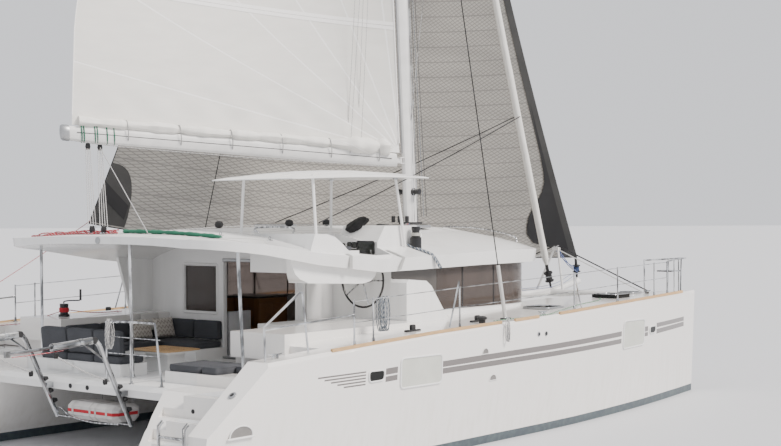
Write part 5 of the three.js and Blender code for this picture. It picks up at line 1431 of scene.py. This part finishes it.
def dress_davits():
    """Tackles, blocks, braces, collars and falls of both davits."""
    fittings, sticks, lines, spots = [], [], [], []
    for y in DAVIT_Y:
        spots += [(-7.02, y, 1.64), (-6.2, y, 1.22)]
        lines += [hanging((-7.0, y + dy, 1.62), (-6.22, y + dy, 1.25), 0.02, 12) for dy in (-0.02, 0.02)]
        sticks.append(tube(hanging((-6.55, y, 1.75), (-6.24, y, 1.54)), 0.016))
        sticks += [turned(COLLAR, (x, y, z), (-1, 0, -0.07)) for x, z in ((-6.62, 1.783), (-7.06, 1.752))]
        for z in (1.13, 0.95, 0.8):
            spot = (-5.68 - (z - 0.565) * 0.487, y, z)
            fittings.append(block(spot, (0.07, 0.09, 0.05), 0.012, axes((1, 0, 0.4))))
        fittings.append(turned(DAVIT_ROLLER, (-6.4, y, 1.8), (0, 1, 0)))
    piece("davit_fittings", fittings, rubber)
    piece("davit_braces", sticks, stainless)
    blocks_at(spots, 0.085, "davit_blocks")
    for number, line in enumerate(lines):
        rope(f"davit_tackle_{number}", line, 0.006, white_rope)
    for number, y in enumerate(DAVIT_Y):
        fall = curve([(-6.9, y, 1.7), (-7.3, y, 1.68), (-7.72, y, 1.67)], 12)
        rope(f"davit_fall_{number}", fall, 0.006, red_rope)


# Section of a strap round the raft, in x and z from its middle
STRAP_SECTION = np.array([
    (-0.25, -0.06), (-0.25, 0.07), (-0.174, 0.13), (0.174, 0.13), (0.25, 0.07), (0.25, -0.06), (0.174, -0.13),
    (-0.174, -0.13), (-0.25, -0.06),
])
RAFT_CRADLE = (
    (-5.75, 0.62, 0.62), (-5.86, 0.43, 0.72), (-5.93, 0.1, 0.63), (-5.95, -0.4, 0.585), (-5.93, -0.95, 0.6),
)


def strip(line, half):
    """A band along a line, reaching a half width to each side of it."""
    return sheet(np.stack([line - np.array(half), line + np.array(half)], 1))


def dress_raft():
    """Straps round the raft, a band along its aft face and round its ends, and the cradle's tube."""
    x, z = STRAP_SECTION.T + np.array(((RAFT_X,), (RAFT_Z - 0.002,)))
    lines = [np.column_stack([x, np.full(9, y), z]) for y in (-0.66, -0.42, -0.3, 0.08)]
    straps = [strip(line, (0, 0.02, 0)) for line in lines]
    piece("raft_straps", straps, pale_canvas)
    end = np.array([(-0.2475, 0.19, 0), (-0.182, 0.245, 0), (0.17, 0.245, 0)]) + (RAFT_X, 0, RAFT_Z)
    other = end * (1, -1, 1) - (0, 0.6, 0)
    face = np.array([(-0.2475, -0.79, 0), (-0.2475, 0.19, 0)]) + (RAFT_X, 0, RAFT_Z)
    piece("raft_band", [strip(line, (0, 0, 0.022)) for line in (face, end, other)], red_strap)
    piece("raft_cradle_tube", bent_tube(RAFT_CRADLE, 0.011), stainless)


# Side views of the ladder's second tubes and hooks: x, z
LADDER_TUBE = ((-7.012, 0.31), (-7.012, 0.82), (-6.99, 0.9), (-6.95, 0.93))
LADDER_HOOK = ((-6.975, 0.36), (-6.93, 0.46), (-6.86, 0.47), (-6.82, 0.36))


def dress_ladder():
    """The ladder's second tubes and treads, which swing with it, and its hooks on the hull."""
    tubes = [bent_tube([(x, y, z) for x, z in LADDER_TUBE], 0.009, 16) for y in (-3.025, -3.485)]
    hooks = [bent_tube([(x, y, z) for x, z in LADDER_HOOK], 0.009, 20) for y in (-2.9, -3.36)]
    treads = [block((-7.012, -3.22, 0.314 + 0.59 * s), (0.05, 0.4, 0.014), 0.004) for s in (0.27, 0.52, 0.77)]
    piece("ladder_second_tubes", tubes, stainless, "boarding_ladder")
    piece("ladder_treads", treads, stainless, "boarding_ladder")
    piece("ladder_hooks", hooks, stainless)


ROOF_POST_FEET = ((-5.15, -2.62, 1.311), (-5.23, -0.44, 1.151), (-4.98, 2.0, 1.311))


def dress_post_feet():
    """Round feet of the stern rail and of the posts under the roof."""
    small = [(0.04, 0), (0.04, 0.008), (0.02, 0.012), (0.018, 0.04)]
    large = [(0.05, 0), (0.05, 0.01), (0.03, 0.016), (0.026, 0.05)]
    piece("stern_rail_feet", [turned(small, (-5.77, y, 1.151)) for y in (-0.52, -1.04, -1.66)], stainless)
    piece("roof_post_feet", [turned(large, spot) for spot in ROOF_POST_FEET], stainless)


def roof_strap(x, y_in, lean):
    """A strap from the roof over its starboard edge: along the roof, then down the side face."""
    y = np.linspace(y_in, -2.53, 14)
    over = on_roof(x + lean * (y + 2.53), y, 0.008)
    down = np.column_stack([np.linspace(0.0, lean * 0.5, 6), np.full(6, -0.022), -np.linspace(0.012, 0.2, 6)])
    return strip(np.vstack([over, over[-1] + down]), (-0.035, 0, 0))


ROOF_RAIL = (
    (2.42, -0.2, 3.17), (2.45, -0.25, 3.25), (2.44, -0.9, 3.24), (2.32, -1.6, 3.16), (2.25, -1.95, 3.08),
    (2.24, -2.0, 3.0),
)
ROOF_EDGE_DROP = [(-0.86, -2.57, 2.78), (-0.8, -2.58, 2.7), (-0.74, -2.575, 2.64)]
ROOF_EYES = ((-3.9, -1.9), (-4.5, -1.5), (-3.3, -1.0), (-2.0, 1.6), (-3.6, 1.9))
ROOF_DOMES = ((-2.9, 0.2), (-1.7, -0.2), (-0.9, -0.3))
ROOF_HATCHES = ((0.6, 1.2), (0.6, -0.9), (-1.3, 0.5))


def dress_roof():
    """Handrails, straps, pad eyes, domes, the stern light and the hatches of the roof."""
    piece("roof_rails", both(bent_tube(ROOF_RAIL, 0.014, 50)), stainless)
    piece("roof_straps", [roof_strap(-2.86, -2.3, 0.0), roof_strap(-1.62, -2.25, -0.2)], grey_strap)
    eyes = []
    for x, y in ROOF_EYES:
        spot = on_roof(x, y, 0.002)
        eyes += [block(spot, (0.09, 0.04, 0.012), 0.004), ring(spot + 0.03 * UP, 0.022, (0, 1.0, 0), 0.006)]
    piece("roof_eyes", eyes, stainless)
    dome = [(0.03, 0), (0.06, 0.02), (0.07, 0.06), (0.055, 0.1), (0.02, 0.115)]
    piece("roof_blocks_black", [turned(dome, on_roof(x, y)) for x, y in ROOF_DOMES], rubber)
    light = [(0.05, -0.005), (0.05, 0.012), (0.035, 0.02), (0.02, 0.018)]
    piece("stern_light", turned(light, (-5.5, 0.0, 3.13), (-1, 0, 0.1)), anodised)
    frames = [block(on_roof(x, y, 0.02), (0.56, 0.56, 0.05), 0.016, corner=0.08) for x, y in ROOF_HATCHES]
    panes = [block(on_roof(x, y, 0.044), (0.48, 0.48, 0.02), 0.006, corner=0.07) for x, y in ROOF_HATCHES]
    piece("roof_hatch_frames", frames, anodised)
    piece("roof_hatch_panes", panes, dark_glass)


def dress_rolled_cover():
    """The rolled cover on the aft edge: a radius waved by sines that closes at its starboard end."""
    y, angle = np.linspace(0.05, -2.0, 60), angles(16)
    waves = 1 + 0.12 * np.sin(y * 17) + 0.1 * np.sin(y * 41)
    radius = 0.028 * waves * (1 - 0.7 * np.exp(-((y + 2.0) / 0.05) ** 2))
    around = np.stack([1.5 * np.cos(angle), 0 * angle, np.sin(angle)], -1)
    rings = on_roof(np.full(60, -4.95), y, 0.028)[:, None] + radius[:, None, None] * around
    piece("rolled_cover", capped(rings), green_canvas)


# Red ropes on the roof's aft edge: where they start in y, how far forward they lie, and their lift
RED_ROOF_ROPES = (
    (2.1, 0.0, 0.012), (2.15, 0.06, 0.014), (1.9, 0.12, 0.012), (2.0, 0.03, 0.035), (1.7, 0.09, 0.04),
)
ROOF_LINES = ((-0.95, white_rope), (-1.03, red_rope), (-1.11, blue_rope), (-1.19, black_rope))


def dress_roof_lines():
    """Ropes over the roof's edge and along its aft edge, and lines from the mast to clutches by the helm."""
    y = np.linspace(-1.75, -2.53, 16)
    line = np.vstack([on_roof(-1.05 - 0.3 * (y + 2.1), y, 0.02), ROOF_EDGE_DROP])
    for number, shift in enumerate((0.0, 0.035)):
        rope(f"roof_edge_line_{number}", line + (shift, 0, 0), 0.018, grey_rope)
    for number, (start, shift, lift) in enumerate(RED_ROOF_ROPES):
        y = np.linspace(start, 0.1, 50)
        x = -5.13 + shift + 0.04 * np.sin(y * (7 + number) + number * 2)
        ripple = np.maximum(lift + 0.014 * np.sin(y * 9 + number * 1.7), 0.01)
        rope(f"red_roof_rope_{number}", on_roof(x, y, ripple), 0.011, red_rope)
    clutches = [block(on_roof(-0.25, y, 0.045), (0.2, 0.05, 0.075), 0.014) for y, _ in ROOF_LINES]
    piece("rope_clutches", clutches, rubber)
    for number, (y, finish) in enumerate(ROOF_LINES):
        way = ((-0.15, y), (0.5, y * 0.8), (1.2, y * 0.35), (1.55, -0.14))
        rope(f"roof_line_{number}", curve([on_roof(*spot, 0.02) for spot in way], 24), 0.006, finish)


SCREEN = np.array((-1.752, -1.9, 2.97))
DIALS = ((-1.66, 3.01), (-1.66, 2.9), (-1.56, 3.01), (-1.56, 2.9), (-1.42, 2.99))
THROTTLE = ((-1.74, -2.07, 2.8), (-1.8, -2.07, 2.82), (-1.83, -2.07, 2.9), (-1.84, -2.07, 2.94))
HELM_SEAT_RAIL = ((-3.62, -2.1, 3.22), (-3.66, -2.1, 3.3), (-3.66, -1.4, 3.3), (-3.62, -1.4, 3.22))
POST_HEADS = ((-3.48, -0.95, 4.04), (-3.45, -2.33, 4.04), (-1.5, -0.95, 4.045), (-1.33, -2.15, 4.05))


def dress_console():
    """Screen, dials and throttle on the console."""
    facing = axes((0, -1, 0), (-1, 0, 0.01))
    piece("helm_screen", block(SCREEN, (0.34, 0.19, 0.026), 0.008, facing, 0.02), dial)
    piece("helm_screen_rim", hoop(cross_outline(0.175, 0.1, 0.02, (-1.768, *SCREEN[1:])), 0.009), black)
    faces = [block((-1.75, y, z), (0.02, 0.08, 0.08), 0.006, corner=0.006) for y, z in DIALS]
    rims = [hoop(cross_outline(0.043, 0.043, 0.014, (-1.762, y, z)), 0.005) for y, z in DIALS]
    piece("helm_dials", faces, dial)
    piece("helm_dial_rims", rims, black)
    foot = block(THROTTLE[0], (0.03, 0.09, 0.12), 0.01)
    piece("throttle", [bent_tube(THROTTLE, 0.009, 12), foot], stainless)


def dress_console_cover():
    """A lumpy canvas bundle over the console: an ellipse swollen by a power of a sine and dented by sines."""
    u, v = np.meshgrid(np.linspace(0, 1, 18), angles(28), indexing="ij")
    swell = np.sin(np.clip(u, 0.04, 0.96) * math.pi) ** 0.45
    lump = 1 + 0.1 * np.sin(v * 3 + u * 5) + 0.05 * np.sin(v * 7 - u * 9)
    x = -1.5 + 0.2 * (u - 0.5) + 0.16 * swell * np.cos(v) * lump
    y = -1.5 + 0.17 * swell * np.sin(v) * lump
    z = 3.22 + 0.22 * u + 0.05 * swell * np.cos(v)
    piece("console_cover", capped(np.stack([x, y, z], -1)), black_canvas)


def dress_helm():
    """The wheel's hub cap and spokes, the seat's rail and the heads of the hardtop's posts."""
    hub = [(0.06, -0.01), (0.062, 0.012), (0.05, 0.03), (0.02, 0.038)]
    piece("wheel_hub_cap", turned(hub, WHEEL - (0.013, 0, 0), (-1, 0, 0)), stainless, "steering_wheel")
    turns = [2 * math.pi * (k + 0.5) / 5 for k in range(5)]
    spokes = [
        tube(WHEEL + np.linspace(0.03, 0.4, 6)[:, None] * (0, math.cos(turn), math.sin(turn)), 0.0115)
        for turn in turns
    ]
    piece("wheel_spoke_tubes", spokes, stainless, "steering_wheel")
    piece("helm_seat_rail", bent_tube(HELM_SEAT_RAIL, 0.013, 30), stainless)
    head = [(0.04, -0.012), (0.04, 0.004), (0.028, 0.012)]
    piece("hardtop_post_heads", [turned(head, spot) for spot in POST_HEADS], stainless)


dress_table()
dress_winches()
dress_cockpit()
dress_davits()
dress_raft()
dress_ladder()
dress_post_feet()
dress_roof()
dress_rolled_cover()
dress_roof_lines()
dress_console()
dress_console_cover()
dress_helm()


# Saloon

# Grey panel that carries the window band aft over the step moulding: x, z
SIDE_PANEL = np.array((
    (-0.592, 2.675), (-1.722, 2.675), (-1.722, 2.5), (-1.25, 2.463), (-1.113, 2.378), (-0.757, 1.955),
    (-0.592, 1.955),
))
DOOR_HANDLE = ((-2.37, 0.75, 1.85), (-2.372, 0.735, 1.85), (-2.372, 0.735, 2.15), (-2.37, 0.75, 2.15))

# Plain blocks of the saloon and its walls: finish, edge radius, and the middle and size of each block
SALOON_BLOCKS = {
    "window_divisions": (rubber, 0.004, [
        ((x, y, 2.315), (0.03, 0.012, 0.7)) for y in (-2.392, 2.392) for x in (0.1, 0.98)
    ]),
    "door_jambs": (gelcoat, 0.008, [((-2.438, y, 1.95), (0.03, 0.05, 1.56)) for y in (-1.055, 0.6)]),
    "galley_worktop": (worktop, 0.01, [
        ((-1.35, 1.745, 2.066), (1.72, 0.3, 0.03)), ((-0.85, 1.3, 2.066), (0.72, 0.62, 0.03)),
    ]),
    "galley_doors": (joinery, 0.006, [
        ((-2.0, 1.594, 1.6), (0.36, 0.012, 0.72)), ((-1.6, 1.594, 1.6), (0.36, 0.012, 0.72)),
        ((-1.02, 0.994, 1.6), (0.32, 0.012, 0.72)), ((-0.68, 0.994, 1.6), (0.32, 0.012, 0.72)),
    ]),
    "saloon_floor": (joinery, 0.002, [((0.0, 0.05, 1.153), (4.4, 1.84, 0.006))]),
    "overhead_lockers": (joinery, 0.01, [
        ((-1.6, 2.1, 2.82), (0.8, 0.34, 0.2)), ((-0.75, 2.1, 2.82), (0.8, 0.34, 0.2)),
        ((-2.15, 0.72, 2.84), (0.34, 0.5, 0.2)),
    ]),
    "galley_end_panel": (grip_pad, 0.01, [((-2.05, 0.63, 1.53), (0.5, 0.08, 0.74))]),
    "helm_wall_clips": (rubber, 0.004, [((-1.66, y, 2.5), (0.012, 0.03, 0.2)) for y in (-1.9, -1.4)]),
    "pod_vent": (rubber, 0.004, [((-1.74, -2.12, 2.66), (0.36, 0.012, 0.11))]),
}


def dress_walls():
    """The grey side panel, trim round the bulkhead window, the sliding door's sill, frames and handle."""
    x, z = SIDE_PANEL.T
    faces = [np.column_stack([x, np.full(len(x), y), z]) for y in (-2.3815, -2.392)]
    piece("side_panel", capped(np.array(faces)), panel_grey, smooth=False)
    trim = cross_outline(0.405, 0.405, 0.03, (-2.438, 1.135, 2.275))
    piece("bulkhead_window_trim", hoop(trim, 0.02, 8), gelcoat)
    sill = block((-2.44, -0.24, 1.17), (0.09, 1.62, 0.03), 0.008)
    track = block((-2.44, -0.24, 2.755), (0.05, 1.66, 0.05), 0.01)
    piece("door_sill", [sill, track], anodised)
    for name, x in (("outer", -2.354), ("inner", -2.32)):
        frame_line = cross_outline(0.415, 0.76, 0.02, (x, 1.12, 1.93))
        piece(f"door_frame_{name}", hoop(frame_line, 0.012, 8), anodised, f"door_leaf_{name}")
    piece("door_handle", bent_tube(DOOR_HANDLE, 0.007, 20), stainless, "door_leaf_outer")


def dress_saloon():
    """The warm wood inside, the galley's fronts and worktop, the seat's cushions and the table."""
    for name, (finish, edge, rows) in SALOON_BLOCKS.items():
        piece(name, [block(centre, size, edge) for centre, size in rows], finish)
    seat = [pad((1.05, -1.55, 1.655), (1.6, 0.56, 0.1)), pad((1.65, -0.3, 1.655), (0.46, 1.8, 0.1))]
    cushions("saloon_cushions", seat, pale_canvas)
    top = block((0.75, -0.55, 1.86), (0.9, 0.7, 0.035), 0.012, corner=0.08)
    leg = turned([(0.12, 0), (0.12, 0.015), (0.05, 0.03), (0.05, 0.69), (0.1, 0.7)], (0.75, -0.55, 1.151))
    piece("saloon_table", [top, leg], joinery)


dress_walls()
dress_saloon()


# Floor at the waterline, and soft light

FLOOR_HALF = 400


def make_stage():
    """A wide pale floor, a pale sky all round and one soft sun from high on the starboard side."""
    corners = [(x * FLOOR_HALF, y * FLOOR_HALF, 0) for x, y in ((-1, -1), (1, -1), (1, 1), (-1, 1))]
    mesh = bpy.data.meshes.new("floor")
    mesh.from_pydata(corners, [], [(0, 1, 2, 3)])
    mesh.materials.append(clouded("floor", (0.6, 0.61, 0.63), 0.6, 0.02))
    floor = bpy.data.objects.new("floor", mesh)
    bpy.context.scene.collection.objects.link(floor)
    world = bpy.data.worlds.new("sky")
    world.use_nodes = True
    background = world.node_tree.nodes["Background"].inputs
    background["Color"].default_value, background["Strength"].default_value = (0.84, 0.85, 0.89, 1), 1.2
    bpy.context.scene.world = world
    sun = bpy.data.lights.new("sun", "SUN")
    sun.energy, sun.angle, sun.color = 5.5, math.radians(20), (1.0, 0.935, 0.885)
    lamp = bpy.data.objects.new("sun", sun)
    lamp.rotation_mode = "QUATERNION"
    lamp.rotation_quaternion = Vector((0.15, -0.8, 0.85)).to_track_quat("Z", "Y")
    bpy.context.scene.collection.objects.link(lamp)


make_stage()
